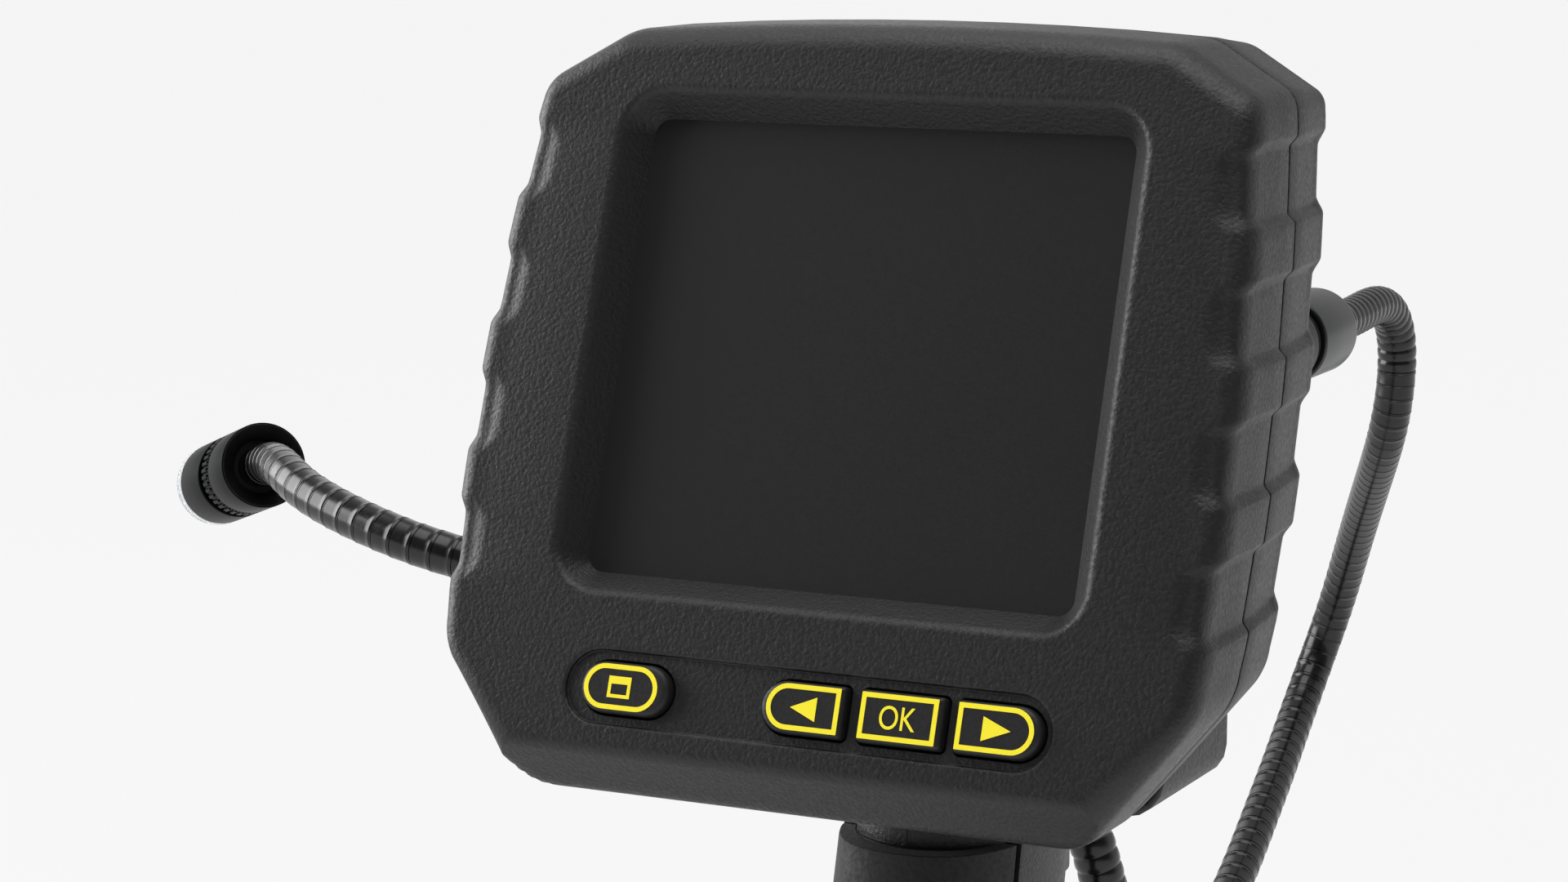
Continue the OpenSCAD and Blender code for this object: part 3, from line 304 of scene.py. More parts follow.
# %% Twisted wires
# PVC insulation, extruded: dark red and smooth
wire_pvc = moulded("wire_pvc", "#5a1718", "#6d2021", 1.0, 0.02, 0.4, 0.5, IOR=1.53)
wire_count, wire_radius, wire_offset, twist_length = 4, 0.42, 0.62, 40
wire_steps = 150
twist_stations = [hose_length * k / wire_steps for k in range(wire_steps + 1)]
bm = bmesh.new()
for strand in range(wire_count):
    frames = []
    for s, (middle, right, up) in zip(twist_stations, carried_frames(twist_stations)):
        turn = 2 * math.pi * (s / (twist_length * MM) + strand / wire_count)
        frames.append((middle + wire_offset * MM * (math.cos(turn) * right + math.sin(turn) * up), right, up))
    for rim in loft(bm, tube_rings(frames, [wire_radius * MM] * len(frames), 6)):
        bmesh.ops.holes_fill(bm, edges=rim)
wires = finish_piece(bm, "twisted_wires", "tool_body", wire_pvc, ["camera_wires"], 60)

# %% [markdown]
# ## The display's outline
# The housing is one outline, pushed straight back. Its sides swell slightly, its corners are cut off and
# rounded, and four finger notches dent each side. The outline could be drawn as a curve; as a short function
# it can be asked for again at any inset, and that is what turns it into a rounded shell.

# %% Outline of the housing
screen_middle = Vector((0, -36, 216))
tilt = math.radians(19.3)
half_wide, top, bottom = 60.0, 46.6, 62.9
side_low, side_high = -43, 37.5
top_half, top_drop = half_wide - 17, 1.4
notch_middles, notch_half = (26.2, 8, -10.2, -28.4), 6.1
notch_gaps = (1.3, 2.6, 3.7, 4, 4.3, 4.6, 4.9, 5.2, 5.5, 5.8, notch_half, 7.6)


def side_x(z):
    # Widest 14 mm below the screen's middle, and 3.4 mm narrower 50 mm from there
    return half_wide - 3.4 * ((z + 14) / 50) ** 2


def arc(a, b, c, radius, steps):
    a, b, c = Vector(a), Vector(b), Vector(c)
    u, v = (a - b).normalized(), (c - b).normalized()
    half = math.acos(u.dot(v)) / 2
    middle = b + (u + v).normalized() * radius / math.sin(half)
    start, end = b + u * radius / math.tan(half) - middle, b + v * radius / math.tan(half) - middle
    turn = math.copysign(math.pi - 2 * half, start.x * end.y - start.y * end.x)
    return [middle + Matrix.Rotation(turn * k / steps, 2) @ start for k in range(steps + 1)]


low_corner, side_corner = (half_wide - 16.5, -bottom), (side_x(side_low), side_low)
high_corner, top_corner = (side_x(side_high), side_high), (top_half, top - top_drop)
side_heights = sorted(z + side * gap for z in notch_middles for side in (-1, 1) for gap in notch_gaps)
right_half = (arc((0, -bottom), low_corner, side_corner, 10, 12)
              + arc(low_corner, side_corner, (side_x(0), 0), 10, 10)
              + [Vector((side_x(z), z)) for z in side_heights]
              + arc((side_x(20), 20), high_corner, top_corner, 5.2, 10)
              + arc(high_corner, top_corner, (0, top), 9, 10)
              + [Vector((x, top - top_drop * (x / top_half) ** 2)) for x in (30, 20, 10)])
outline = right_half + [Vector((0, top))] + [Vector((-p.x, p.y)) for p in reversed(right_half)]
print("points on the outline:", len(outline))

# %% Rings of the housing
recess, housing_depth = 4.6, 36.5
notch_depth, face_dent = 1.2, 0.6


def notch_at(z, ramp):
    return max(ease((notch_half - abs(z - middle)) / ramp) for middle in notch_middles)


def housing_ring(depth, inset, low=0.0, notch=0.0, lean=0.0, spread=0.0):
    # Depth is level, behind the face. Low is the cut along the underside, notch the share of the finger
    # notches, lean the turn of the surface from side to face, and spread widens a notch where it runs out.
    points = []
    for k, p in enumerate(outline):
        way = (outline[(k + 1) % len(outline)] - outline[k - 1]).normalized()
        dip = notch_at(p.y, 1.7 + 1.6 * abs(math.sin(lean))) if side_low < p.y < side_high else 0.0
        dent = notch_depth * notch * dip
        shift = inset + dent * math.cos(lean) + spread * dip
        x, z = p.x - shift * way.y, p.y + shift * way.x
        over, round_off = z + bottom - low, min(1.0, 0.3 * low)
        z += (math.hypot(over, round_off) - over) / 2 if low else 0.0
        y = -recess / math.cos(tilt) + z * math.tan(tilt) + depth + face_dent * dent * math.sin(lean)
        points.append((screen_middle + Vector((x, y, z))) * MM)
    return points


print("housing is", 2 * half_wide, "mm wide and", top + bottom, "mm high")


# %% Places and panels on the leaning face
def on_display(r, u, n):
    return (screen_middle + Vector((r, u * math.sin(tilt) - n * math.cos(tilt),
                                    u * math.cos(tilt) + n * math.sin(tilt)))) * MM


def panel_outline(wide, high, left, right, steps=8):
    points = []
    corners = ((1, 1, right, 0), (-1, 1, left, 90), (-1, -1, left, 180), (1, -1, right, 270))
    for sx, sy, radius, start in corners:
        for k in range(steps + 1):
            a = math.radians(start + 90 * k / steps)
            points.append(Vector((sx * (wide / 2 - radius) + radius * math.cos(a),
                                  sy * (high / 2 - radius) + radius * math.sin(a))))
    return [p for k, p in enumerate(points) if (p - points[k - 1]).length > 0.001]


def panel_ring(middle, n, wide, high, left, right, grow=0.0):
    points = panel_outline(wide + 2 * grow, high + 2 * grow, max(left + grow, 0.15), max(right + grow, 0.15))
    return [on_display(middle[0] + x, middle[1] + y, n) for x, y in points]


def bend(a, b, c, steps):
    for k in range(steps + 1):
        t = k / steps
        yield [(1 - t) ** 2 * p + 2 * t * (1 - t) * q + t * t * r for p, q, r in zip(a, b, c)]


print("middle of the screen, m:", on_display(0, 0, 0))

# %% Draw and fill loops
facing = (on_display(0, 0, 1) - on_display(0, 0, 0)).normalized()


def loop(bm, points):
    verts = [bm.verts.new(p) for p in points]
    return [bm.edges.new((v, verts[(k + 1) % len(verts)])) for k, v in enumerate(verts)]


def fill(bm, edges):
    # The filler drops very small gaps, so the points are in millimetres while it works
    verts = {v for e in edges for v in e.verts}
    for v in verts:
        v.co /= MM
    made = bmesh.ops.triangle_fill(bm, use_beauty=True, normal=facing, edges=edges)["geom"]
    print("filled", len(edges), "edges:", len(made))
    for v in verts:
        v.co *= MM


print("loops are filled to face", facing)

# %% [markdown]
# ## Front shell
# The front shell is the face of the tool: soft edges all round, a sharper chamfer along the underside, a sunk
# frame for the screen and one long trough for the buttons. A box with bevels can't follow the notches, so the
# shell is a stack of rings with a net of faces drawn through them; flat areas between the rims are filled as
# triangles. Each flat area gets a second ring close to its border, which keeps its shading flat.

# %% Front shell's skin
seam_front, seam_back, wall = 17, 17.4, 5.0
edge_depth, edge_width, edge_softness = 5, 3.6, 0.87
face_cut = 8.9


def chamfer(depth):
    # How far the underside is cut up: a round lip at the face, a straight slope, and a soft end
    if depth < 1.2:
        t = 1 - math.sqrt(max(depth, 0) / 1.2)
        return (1 - t) ** 2 * 6.62 + 2 * t * (1 - t) * 7.74 + t * t * face_cut
    return 7.74 - 0.93 * depth if depth < 7.2 else 0.18 * max(9.6 - depth, 0) ** 2


bm = bmesh.new()
inner = [housing_ring(recess / math.cos(tilt), wall), housing_ring(seam_front, wall)]
skin = [housing_ring(seam_front, 0.25, notch=1), housing_ring(seam_front - 0.08, 0.07, notch=1)]
skin += [housing_ring(depth, 0, chamfer(depth), 1) for depth in (16.6, 12, 9.6, 8.8, 8, 7.2, 6.2)]
for step in range(17):
    lean = math.radians(90 * step / 16)
    depth = edge_depth * (1 - math.sin(lean) ** edge_softness)
    inset = edge_width * (1 - max(math.cos(lean), 0) ** edge_softness)
    skin.append(housing_ring(depth, inset, chamfer(depth), 1, lean))
for part in (0.15, 0.3, 0.45, 0.6, 0.8, 1):
    skin.append(housing_ring(0, edge_width + 0.8 * part, face_cut + 0.3 * part, 1 - ease(part), math.pi / 2,
                             2.2 * part))
back_rim, face_rim = loft(bm, inner + skin)
print("rings of the front shell:", len(inner + skin))

# %% Screen frame, trough and key holes
button_row, button_high = -50.9, 7.4
buttons = {"menu": ((-26.1, button_row), 14.2, 3.7, 3.7), "left": ((2, button_row), 12.8, 3.7, 0.6),
           "ok": ((17, button_row), 12.8, 0.6, 0.6), "right": ((31.6, button_row), 12.8, 0.6, 3.7)}
strip = ((1.5, button_row), 75.2, 10.6, 5.3, 5.3)
strip_floor = 3.9
screen_wide, screen_high = 76, 68
frame_wall = [(recess, 4.45), (recess, 4.3)]
frame_wall += list(bend((recess, 4.3), (recess, 3.4), (3.7, 2.73), 5))[1:] + [[0.3, 0.22], [0, 0]]
frame_front, frame_back = loft(bm, [
    panel_ring((0, 0), n, screen_wide, screen_high, 2.5 + 0.3 * grow, 2.5 + 0.3 * grow, grow)
    for n, grow in frame_wall])
trough = [(recess, 0.75), (recess, 0.6)] + list(bend((recess, 0.6), (recess, 0.1), (4.25, 0), 4))[1:]
trough += list(bend((4.05, 0), (strip_floor, 0), (strip_floor, -0.2), 3)) + [[strip_floor, -0.3]]
trough_top, trough_floor = loft(bm, [panel_ring(strip[0], n, *strip[1:], grow) for n, grow in trough])
key_hole = ((strip_floor, 0.5), (strip_floor, 0.42), (3.8, 0.32), (3.6, 0.3), (0, 0.3))
hole_fronts, hole_backs = [], []
for middle, wide, left, right in buttons.values():
    front, back = loft(bm, [panel_ring(middle, n, wide, button_high, left, right, grow)
                            for n, grow in key_hole])
    hole_fronts += front
    hole_backs += back
fill(bm, face_rim + frame_front + trough_top)
fill(bm, trough_floor + hole_fronts)
fill(bm, back_rim + frame_back + hole_backs)
finish_piece(bm, "front_shell_skin", "display", housing_abs, ["display_front_shell"], 40)

# %% [markdown]
# ## Rear shell and seal
# The rear shell carries the same outline on to the back, so its rings meet the front's notches exactly. Its
# flat back has four sunk holes for screws. The block low on the back, with the slot that slides over the
# dock, comes later as a finished copy of the CAD mesh. A thin black seal fills the seam between the two
# shells: it is made from the same rings, set a little further in.

# %% Rear shell
back_n = recess - housing_depth * math.cos(tilt)
screw_spots = ((47, 28), (-47, 28), (50, -20), (-50, -20))
rear_edge = 4.5
bm = bmesh.new()
inner = [housing_ring(housing_depth - 3, wall), housing_ring(seam_back, wall)]
skin = [housing_ring(seam_back, 0.25, notch=1), housing_ring(seam_back + 0.08, 0.07, notch=1)]
skin += [housing_ring(depth, inset, 0, 1) for depth, inset in ((17.8, 0), (22, 0.3), (26.5, 0.8), (30, 1.15))]
for step in range(13):
    lean = math.radians(90 * step / 12)
    push, pull = math.sin(lean) ** edge_softness, 1 - max(math.cos(lean), 0) ** edge_softness
    skin.append(housing_ring(housing_depth - rear_edge + rear_edge * push, 1.4 + 3.2 * pull, 0, 1, -lean))
for part in (0.25, 0.5, 0.75, 1):
    skin.append(housing_ring(housing_depth, 4.6 + 0.4 * part, 0, 1 - ease(part), -math.pi / 2, 1.4 * part))
hollow_rim, back_rim = loft(bm, inner + skin)
sunk = []
for spot in screw_spots:
    rings = [[on_display(spot[0] + r * math.cos(a), spot[1] + r * math.sin(a), n)
              for a in (2 * math.pi * k / 32 for k in range(32))]
             for n, r in ((back_n, 3.25), (back_n + 0.15, 3.05), (back_n + 3, 3.0), (back_n + 3.05, 1.6))]
    sunk += loft(bm, rings)[0]
fill(bm, back_rim + sunk)
fill(bm, hollow_rim)
finish_piece(bm, "rear_shell_skin", "display", housing_abs, ["display_rear_shell"], 40)

# %% Seal in the seam
seal_front, seal_back = seam_front + 0.02, seam_back - 0.02
seal_rings = [housing_ring(depth, inset, notch=1)
              for depth, inset in ((seal_front, 0.4), (seal_back, 0.4), (seal_back, 3), (seal_front, 3))]
bm = bmesh.new()
loft(bm, seal_rings + seal_rings[:1])
finish_piece(bm, "seam_seal", "display", seal_nitrile, ["shell_seal"], 40)

# %% [markdown]
# ## Buttons
# Four silicone keys stand in the trough. A bevelled box would do for a square key, but three of the four
# have round ends, so each one is its outline carried up to a soft shoulder and closed by a flat top; a flange
# under the shell keeps it in. Marks are a thin coat of yellow ink on top: outlines and plain signs, cut as
# flat shapes and given a thickness.

# %% Keys
key_bodies = {name: name + "_key" for name in buttons}
key_top = recess + 1
flange_back, flange_front, flange_grow = -1.5, -0.3, 2.4
for name, (middle, wide, left, right) in buttons.items():
    bm = bmesh.new()
    rise = [(flange_front, 0.0), (4.5, 0.0)] + list(bend((4.5, 0), (key_top, 0), (key_top, -1.1), 6))[1:]
    rise += [[key_top, -1.25]]
    for rim in loft(bm, [panel_ring(middle, n, wide, button_high, left, right, grow) for n, grow in rise]):
        fill(bm, rim)
    flange_wide = wide - (button_high if name == "menu" else button_high / 2)
    for rim in loft(bm, [panel_ring(middle, n, flange_wide, button_high + flange_grow, 0.3, 0.3)
                         for n in (flange_back, flange_front)]):
        fill(bm, rim)
    finish_piece(bm, name + "_key_cap", key_bodies[name], key_silicone, [name + "_button"],
                 40)

# %% Ink and how it is laid
# Pad-printed day-glow ink: opaque yellow, satin, a little uneven where the pad lifted; a faint painted glow,
# the same under any lamp, keeps the yellow bright
ink_yellow = moulded("ink_yellow", "#f2e22c", "#fff03a", 0.4, 0.01, 0.42, 0.55, IOR=1.5,
                     Emission_Color=linear("#ffee20"), Emission_Strength=0.28)
ink_level, ink_thick = key_top - 0.02, 0.07


def ink_loop(bm, points):
    return loop(bm, [on_display(r, u, ink_level) for r, u in points])


def ink_letters(bm, text, middle, wide, high):
    letters = bpy.data.curves.new("key_letters", "FONT")
    letters.body = text
    holder = bpy.data.objects.new("key_letters", letters)
    scene.collection.objects.link(holder)
    flat = bpy.data.meshes.new_from_object(holder.evaluated_get(bpy.context.evaluated_depsgraph_get()))
    bpy.data.objects.remove(holder)
    xs, ys = [v.co.x for v in flat.vertices], [v.co.y for v in flat.vertices]
    for v in flat.vertices:
        r = middle[0] + wide * ((v.co.x - min(xs)) / (max(xs) - min(xs)) - 0.5)
        u = middle[1] + high * ((v.co.y - min(ys)) / (max(ys) - min(ys)) - 0.5)
        v.co = on_display(r, u, ink_level)
    bm.from_mesh(flat)
    bpy.data.meshes.remove(flat)


def ink_piece(bm, name):
    grown = bmesh.ops.extrude_face_region(bm, geom=list(bm.faces))["geom"]
    lift = on_display(0, 0, ink_thick) - on_display(0, 0, 0)
    bmesh.ops.translate(bm, vec=lift, verts=[v for v in grown if isinstance(v, bmesh.types.BMVert)])
    return finish_piece(bm, name + "_key_ink", key_bodies[name], ink_yellow, (), 30)


print("ink lies", ink_level, "mm above the window and is", ink_thick, "mm thick")

# %% Ink on the keys
ink_row, ink_high, ink_line = -50.85, 6.5, 0.7
ink_frames = {"menu": ((-26.6, ink_row), 11.8, 3.25, 3.25), "left": ((2.2, ink_row), 11.2, 3.25, 0.1),
              "ok": ((16.8, ink_row), 11.6, 0.1, 0.1), "right": ((31.3, ink_row), 11.4, 0.1, 3.25)}
signs = {"left": [((0.3, button_row), (4.3, -49.2), (4.3, -52.6))],
         "right": [((33.6, button_row), (29.4, -49.2), (29.4, -52.6))],
         "menu": [((-28.6, -49.3), (-25.0, -49.3), (-25.0, -52.4), (-28.6, -52.4)),
                  ((-28.1, -50.4), (-25.5, -50.4), (-25.5, -51.9), (-28.1, -51.9))]}
for name, (middle, wide, left, right) in ink_frames.items():
    bm = bmesh.new()
    border = []
    for trim in (0.0, ink_line):
        points = panel_outline(wide - 2 * trim, ink_high - 2 * trim, max(left - trim, 0.05),
                               max(right - trim, 0.05))
        border += ink_loop(bm, [(middle[0] + x, middle[1] + y) for x, y in points])
    fill(bm, border)
    if name in signs:
        fill(bm, [edge for sign in signs[name] for edge in ink_loop(bm, sign)])
    else:
        ink_letters(bm, "OK", (16.75, ink_row), 5.5, 3.3)
    ink_piece(bm, name)

# %% [markdown]
# ## Metals, clear plastic and inner finishes
# Turned metal keeps the fine rings of the tool that cut it: a noise pattern squeezed along the axis draws
# them, and they show as a soft streak in the gloss. They are drawn a quarter of a millimetre apart or more,
# coarser than real ones, so that they show. Bead-blasted and anodised, the collar and the camera head are a
# satin dark grey. Pieces inside the tool take the moulded recipe again with their own colours.

# %% Turned metals
def turned_metal(name, dark, light, axis, ring, smooth, rough, **sockets):
    material, tree, shader, place = start_material(name, Metallic=1.0, **sockets)
    aim = Vector(axis).to_track_quat("Z", "Y").inverted().to_euler()
    aimed = add(tree, "ShaderNodeMapping", {"Vector": place, "Rotation": aim})
    squeezed = add(tree, "ShaderNodeMapping", {"Vector": aimed.outputs[0],
                                               "Scale": (40, 40, 1 / (ring * MM))})
    rings = add(tree, "ShaderNodeTexNoise", {"Vector": squeezed.outputs[0], "Scale": 1.0, "Detail": 3.0})
    colour = add(tree, "ShaderNodeMix", {0: rings.outputs["Fac"], 6: linear(dark), 7: linear(light)},
                 data_type="RGBA")
    gloss = add(tree, "ShaderNodeMapRange", {"Value": rings.outputs["Fac"], "To Min": smooth,
                                             "To Max": rough})
    bump = add(tree, "ShaderNodeBump", {"Height": rings.outputs["Fac"], "Strength": 0.5,
                                        "Distance": 0.02 * MM})
    tree.links.new(colour.outputs[2], shader.inputs["Base Color"])
    tree.links.new(gloss.outputs[0], shader.inputs["Roughness"])
    tree.links.new(bump.outputs[0], shader.inputs["Normal"])
    return material


# Aluminium, blasted and anodised dark: satin, with the faint rings of turning
collar_aluminium = turned_metal("collar_aluminium", "#404143", "#4b4c4e", (0, 1, 0), 0.25, 0.28, 0.4)
# The same on the camera head, anodised nearly black; a grey tint keeps its grazing edges from going white
head_aluminium = turned_metal("head_aluminium", "#141516", "#1c1d1e", head_way, 0.25, 0.3, 0.42,
                              Specular_Tint=linear("#c8c8c8"))
# Zinc-plated steel on screws and the axle: bright grey with a soft gloss
plated_steel = turned_metal("plated_steel", "#8d9094", "#a5a8ac", (1, 0, 0), 0.3, 0.28, 0.4)
# Gilt copper alloy on contacts: warm yellow
contact_bronze = turned_metal("contact_bronze", "#a8833a", "#c29a4c", (0, 0, 1), 0.4, 0.3, 0.42)
print("materials with the metals:", len(bpy.data.materials))

# %% Inner finishes
# Glass-epoxy boards under solder mask: green and slightly glossy
board_mask = moulded("board_mask", "#123a20", "#1b4a2b", 1.4, 0.03, 0.3, 0.42, IOR=1.55)
# White solder mask under the lamps
board_white = moulded("board_white", "#d9d8d2", "#e6e5e0", 0.8, 0.02, 0.4, 0.5, IOR=1.55)
# Shrink sleeve on the cells, and the foil pouch of the display's own cell
cell_sleeve = moulded("cell_sleeve", "#2b5f82", "#356d92", 2.5, 0.05, 0.25, 0.36, IOR=1.52)
cell_foil = moulded("cell_foil", "#7d8186", "#8e9297", 2.0, 0.06, 0.3, 0.42, IOR=1.5)
# The dead panel behind the window
panel_glass = moulded("panel_glass", "#2b2d30", "#303236", 3.0, 0.01, 0.18, 0.26, IOR=1.52)
# Tinted acrylic window: a hard coat with a satin etch hides the panel when it is off
window_acrylic = moulded("window_acrylic", "#19191a", "#1c1c1d", 0.35, 0.004, 0.42, 0.5, IOR=1.45)
# Polycarbonate of the ring that carries the lamps' light: clear, faintly frosted by the mould
ring_polycarbonate = moulded("ring_polycarbonate", "#e9eff2", "#f3f7f9", 0.8, 0.01, 0.06, 0.14, IOR=1.585,
                             Transmission_Weight=0.85)
# Coated glass before the lens: clear and polished
lens_glass = moulded("lens_glass", "#c4d4de", "#d2dfe7", 2.0, 0.002, 0.02, 0.06, IOR=1.52,
                     Transmission_Weight=0.9)
# Phosphor over the lamps: pale yellow
lamp_phosphor = moulded("lamp_phosphor", "#f3e6b4", "#fff2c8", 0.5, 0.02, 0.35, 0.5, IOR=1.5)
print("materials in all:", len(bpy.data.materials))

# %% Materials for the CAD pieces that stay as they are
kept = {
    "screen_window": window_acrylic, "screen_gasket": seal_nitrile, "lcd_panel": panel_glass,
    "display_board": board_mask, "keypad_board": board_mask, "dome_switches": plated_steel,
    "display_cell": cell_foil, "display_screws": plated_steel, "dock_screws": plated_steel,
    "body_screws": plated_steel, "control_board": board_mask, "battery_terminals": contact_bronze,
    "dimmer_axle": plated_steel, "cable_socket": dark_nylon, "cable_plug": dark_nylon,
    "head_core": head_aluminium, "lens_window": lens_glass, "camera_module": dark_nylon,
    "led_board": board_white, "leds": lamp_phosphor, "battery_cells": cell_sleeve,
    "battery_board": board_mask, "battery_contacts": contact_bronze}
for node, material in kept.items():
    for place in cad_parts[node].material_slots:
        place.material = material
print("CAD pieces with a new finish:", len(kept))

# %% [markdown]
# ## Finished copies of CAD pieces
# Many pieces already have the right shape in the CAD model, but its edges are knife sharp. They could be
# modelled again; a copy of the mesh is quicker and stays true. It is merged, its flat areas are joined, a
# Bevel modifier rounds its edges by a real radius, and weighted normals keep the flat areas flat. The CAD
# mesh itself stays as it is. Of the rear shell only the block on its back is wanted: the copy is cut along
# the back's plane, its outer shell is kept, and the open rim is drawn forwards into the shell and capped.

# %% Copy a CAD piece with rounded edges
def cut_off(bm, place, normal, forward):
    bmesh.ops.bisect_plane(bm, geom=bm.verts[:] + bm.edges[:] + bm.faces[:], plane_co=place, plane_no=normal,
                           clear_outer=True)
    block, reached = set(), [max(bm.verts, key=lambda v: abs(v.co.x))]
    while reached:
        v = reached.pop()
        if v not in block:
            block.add(v)
            reached += [e.other_vert(v) for e in v.link_edges]
    bmesh.ops.delete(bm, geom=[v for v in bm.verts if v not in block], context="VERTS")
    rim = bmesh.ops.extrude_edge_only(bm, edges=[e for e in bm.edges if e.is_boundary])["geom"]
    bmesh.ops.translate(bm, vec=forward, verts=[v for v in rim if isinstance(v, bmesh.types.BMVert)])
    made = bmesh.ops.holes_fill(bm, edges=[e for e in bm.edges if e.is_boundary])["faces"]
    print("open edges after the cut:", sum(e.is_boundary for e in bm.edges), "caps:", len(made))


def rounded_copy(node, body, material, edge, sharp=40, cut=None):
    bm = bmesh.new()
    bm.from_mesh(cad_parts[node].data)
    bmesh.ops.remove_doubles(bm, verts=bm.verts, dist=2e-6)
    if cut:
        cut_off(bm, *cut)
    bmesh.ops.dissolve_limit(bm, angle_limit=math.radians(0.6), verts=bm.verts, edges=bm.edges)
    piece = finish_piece(bm, node + "_finished", body, material, [node], sharp)
    bevel = piece.modifiers.new("rounded_edges", "BEVEL")
    bevel.width, bevel.segments, bevel.profile = edge * MM, 3, 0.5
    bevel.limit_method, bevel.angle_limit = "ANGLE", math.radians(sharp)
    bevel.harden_normals = True
    weigh = piece.modifiers.new("flat_areas", "WEIGHTED_NORMAL")
    weigh.keep_sharp = True


print("CAD faces of the rear shell:", len(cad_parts["display_rear_shell"].data.polygons))

# %% Copies with rounded edges
block_reach = 8
rounded_copy("display_rear_shell", "display", housing_abs, 0.8, 30,
             (on_display(0, 0, back_n - 0.05), facing, (0, -block_reach * MM, 0)))
for node, body, slot, material, edge in (
        ("body_left_shell", "tool_body", "body_plastic", body_abs, 0.4),
        ("body_right_shell", "tool_body", "body_plastic", body_abs, 0.4),
        ("rear_grip", "tool_body", "grip_rubber", grip_elastomer, 0.5),
        ("dock_plate", "tool_body", "dark_plastic", dark_nylon, 0.3),
        ("dimmer_wheel", "dimmer", "dark_plastic", dark_nylon, 0.15),
        ("battery_case", "battery", "dark_plastic", dark_nylon, 0.6),
        ("battery_cover", "battery", "body_plastic", body_abs, 0.5),
        ("battery_release", "release", "dark_plastic", dark_nylon, 0.4),
        ("neck_seal", "tool_body", "seal_rubber", seal_nitrile, 0.2)):
    rounded_copy(node, body, material, edge)

# %% [markdown]
# ## Collar and camera head
# These are lathe work. A cylinder with bevels would do for a solid rod, but all of these are hollow and most
# have a step inside, so a closed profile, its corners rounded by a real radius, is spun once round its axis.
# Only the ring with the ridges isn't round, so it is a stack of toothed rings instead: a row of fine teeth, a
# plain neck and a row of broader bars.

# %% Lathe
def turned(name, body, material, base, axis, corners, replaced):
    profile = []
    for k, (r, z, radius) in enumerate(corners):
        if radius:
            profile += arc(corners[k - 1][:2], (r, z), corners[(k + 1) % len(corners)][:2], radius, 6)
        else:
            profile.append(Vector((r, z)))
    base, axis = Vector(base), Vector(axis)
    side = axis.orthogonal().normalized()
    bm = bmesh.new()
    edges = loop(bm, [(base + z * axis + r * side) * MM for r, z in profile])
    bmesh.ops.spin(bm, geom=bm.verts[:] + edges, cent=base * MM, axis=axis, angle=2 * math.pi, steps=96,
                   use_merge=True)
    return finish_piece(bm, name, body, material, [replaced], 30)


print("the camera head points along", head_way)

# %% Turned pieces
# Each corner is its radius, its place along the axis and its rounding, in millimetres
turned("collar", "nut", collar_aluminium, (0, 0, 196), (0, 1, 0),
       [(6.5, 151.3, 0.1), (8.2, 151.3, 0.45), (8.2, 171, 2.4), (4.4, 171, 0.3), (4.4, 163.1, 0),
        (6.5, 163.1, 0)], "coupling_nut")
head_profiles = (
    ("head_cap", "seal_rubber", cap_nylon, "head_end_cap",
     [(7.75, 0, 0.1), (8.0, 0, 0.1), (8.0, 6.2, 0), (2.5, 6.2, 0), (2.5, 4.4, 0), (5.2, 4.4, 0),
      (5.2, 2.4, 0.2)]),
    ("head_sleeve", "dark_metal", head_aluminium, "head_rear_sleeve",
     [(8.02, 0, 0), (8.2, 0, 0.08), (8.2, 11.7, 0.25), (6.52, 11.7, 0.1), (6.52, 6.22, 0), (8.02, 6.22, 0)]),
    ("head_groove", "seal_rubber", seal_nitrile, "head_seal",
     [(6.52, 17.7, 0), (7.3, 17.7, 0.1), (7.3, 20.3, 0.1), (6.52, 20.3, 0)]),
    ("head_front", "dark_metal", head_aluminium, "head_barrel",
     [(6.52, 20.3, 0), (8.2, 20.3, 0.3), (8.2, 35.7, 0.08), (6.52, 35.7, 0)]),
    ("head_clear_ring", "clear", ring_polycarbonate, "lens_ring",
     [(6.6, 35.7, 0), (8.2, 35.7, 0.08), (8.2, 39.9, 0.7), (4.95, 39.9, 0.2), (4.95, 37.9, 0),
      (6.6, 37.9, 0)]))
head_pieces = [turned(name, "tool_body", material, head_place, head_way, corners, node)
               for name, slot, material, node, corners in head_profiles]

# %% Ring with teeth
ring_points = 304
across = head_way.orthogonal().normalized()
upward = head_way.cross(across)
fine, bars, plain, ring_bore = (8.15, 8.15, 7.9, 7.9), (8.2,) * 5 + (7.75,) * 3, (7.6,), (6.56,)
rows = ((12, fine, 0.15), (12.15, fine, 0), (13.2, fine, 0), (13.35, plain, 0), (13.6, plain, 0),
        (13.75, bars, 0), (17.2, bars, 0), (17.4, bars, 0.2), (17.4, ring_bore, 0), (12, ring_bore, 0))
stack = []
for z, teeth, trim in rows:
    points = []
    for k in range(ring_points):
        a, r = 2 * math.pi * k / ring_points, teeth[k % len(teeth)] - trim
        points.append((head_place + z * head_way + r * (math.cos(a) * across + math.sin(a) * upward)) * MM)
    stack.append(points)
bm = bmesh.new()
loft(bm, stack + stack[:1])
head_pieces.append(finish_piece(bm, "head_toothed_ring", "head_ring", head_aluminium,
                                ["knurled_ring"], 25))
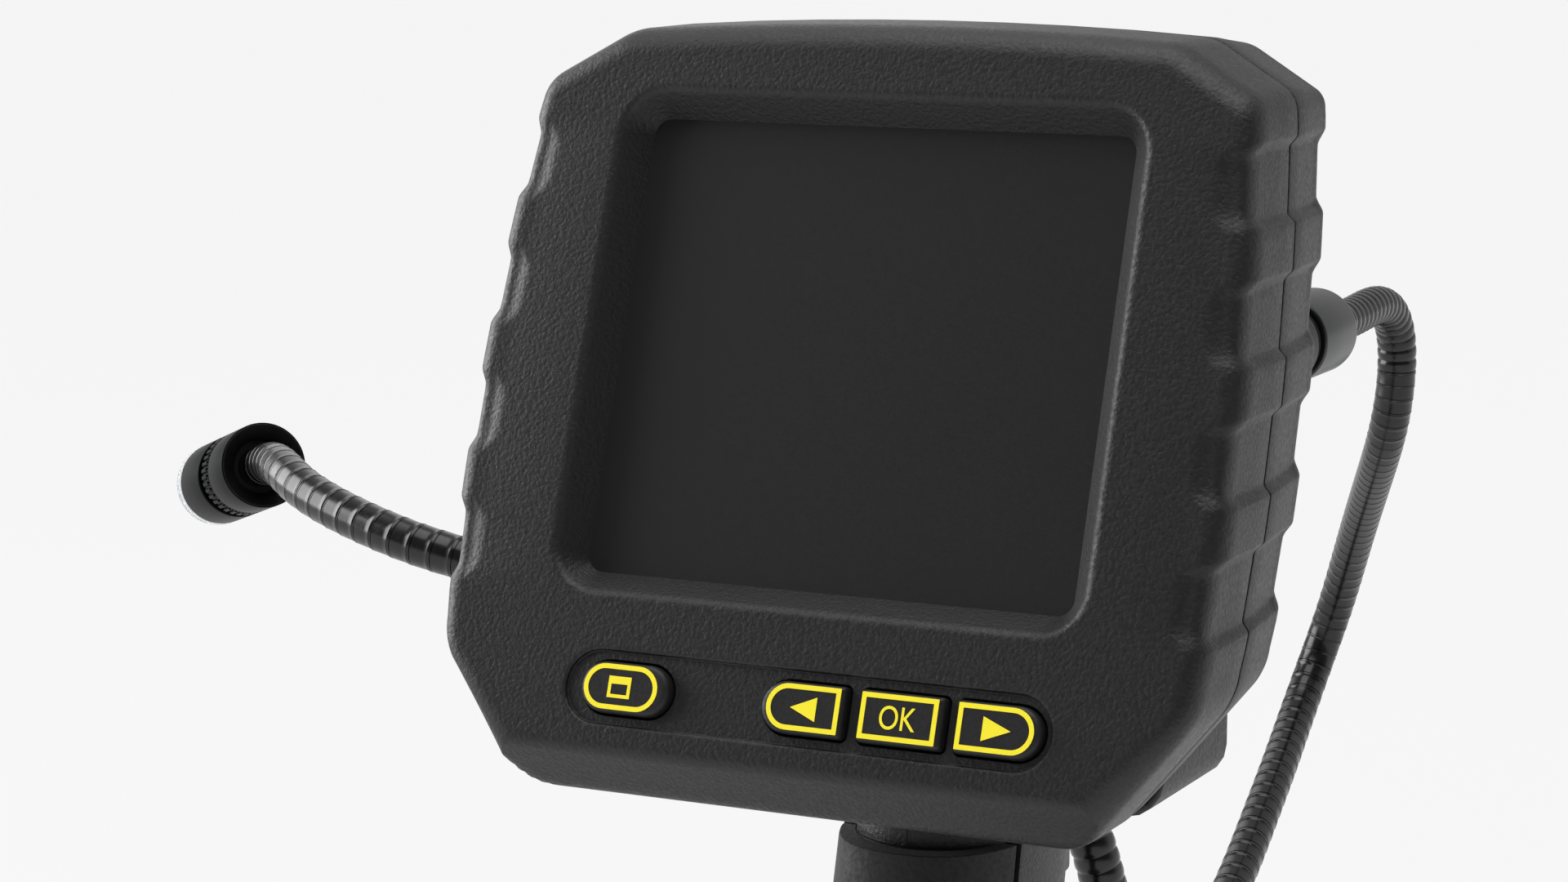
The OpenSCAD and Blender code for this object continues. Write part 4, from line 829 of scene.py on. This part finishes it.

# %% [markdown]
# ## The gooseneck and its wires
# The gooseneck, the wires in it and the pieces at its two ends belong together: whoever bends it another way
# has to carry them along.

# %% [markdown]
# ## Floor and light
# A pale floor, a pale surround and four soft boxes: one at the left that draws the bright streaks in the
# finger notches, one at the right that lifts the housing's side, one behind that draws a line of light along
# the gooseneck, and one overhead. More light would whiten the background but wash out the tool. So the floor
# looks white to the camera and in reflections, and the surround to the camera and through clear plastic. To
# everything else the surround is dimmer, and darkest on the camera's side, so that the black pieces keep
# their depth.

# %% Floor
floor_drop = 0.5
bm = bmesh.new()
bmesh.ops.create_grid(bm, x_segments=4, y_segments=4, size=14)
bmesh.ops.translate(bm, verts=bm.verts, vec=(0, 0, -floor_drop * MM))
floor_mesh = bpy.data.meshes.new("studio_floor")
bm.to_mesh(floor_mesh)
bm.free()
floor = bpy.data.objects.new("studio_floor", floor_mesh)
scene.collection.objects.link(floor)
# Uncoated paper: pale and matt
paper, tree, shader, _ = start_material("floor_paper", Roughness=0.9, Base_Color=linear("#e9e9e9"))
rays = add(tree, "ShaderNodeLightPath")
looked = add(tree, "ShaderNodeMath", {0: rays.outputs["Is Camera Ray"], 1: rays.outputs["Is Glossy Ray"]},
             operation="MAXIMUM")
seen = add(tree, "ShaderNodeMath", {0: looked.outputs[0], 1: 0.97}, operation="MULTIPLY")
glow = add(tree, "ShaderNodeEmission", {"Color": linear("#f7f7f7"), "Strength": 1.0})
mix = add(tree, "ShaderNodeMixShader", {0: seen.outputs[0], 1: shader.outputs[0], 2: glow.outputs[0]})
tree.links.new(mix.outputs[0], tree.nodes["Material Output"].inputs["Surface"])
floor_mesh.materials.append(paper)
print("floor at", floor_mesh.vertices[0].co.z)

# %% Surround
studio = bpy.data.worlds.new("studio")
scene.world = studio
studio.use_nodes = True
tree = studio.node_tree
tree.nodes.clear()
studio_white = linear("#f6f6f6")
rays = add(tree, "ShaderNodeLightPath")
looked = add(tree, "ShaderNodeMath", {0: rays.outputs["Is Camera Ray"],
                                      1: rays.outputs["Is Transmission Ray"]}, operation="MAXIMUM")
way = add(tree, "ShaderNodeSeparateXYZ", {0: add(tree, "ShaderNodeTexCoord").outputs["Generated"]})
behind = add(tree, "ShaderNodeMapRange", {"Value": way.outputs["Y"], "From Min": -0.3, "From Max": 0.7,
                                          "To Min": 0.15, "To Max": 0.62}, interpolation_type="SMOOTHSTEP")
dim = add(tree, "ShaderNodeBackground", {"Color": studio_white, "Strength": behind.outputs[0]})
bright = add(tree, "ShaderNodeBackground", {"Color": studio_white, "Strength": 1.0})
mix = add(tree, "ShaderNodeMixShader", {0: looked.outputs[0], 1: dim.outputs[0], 2: bright.outputs[0]})
add(tree, "ShaderNodeOutputWorld", {"Surface": mix.outputs[0]})
print("nodes of the surround:", len(tree.nodes))

# %% Soft boxes
aim = Vector((0, 0, 0.2))
for name, place, size, power in (("left_box", (-1.0, -0.1, 0.5), 0.8, 12.0),
                                 ("right_box", (0.95, 0.7, 0.4), 0.8, 0.5),
                                 ("back_box", (-0.7, 0.9, 0.6), 0.6, 0.8),
                                 ("top_box", (0.0, -0.1, 1.3), 1.1, 9.5)):
    lamp = bpy.data.lights.new(name, "AREA")
    lamp.size, lamp.energy = size, power
    holder = bpy.data.objects.new(name, lamp)
    holder.location = place
    holder.rotation_euler = (aim - Vector(place)).to_track_quat("-Z", "Y").to_euler()
    scene.collection.objects.link(holder)

# %% [markdown]
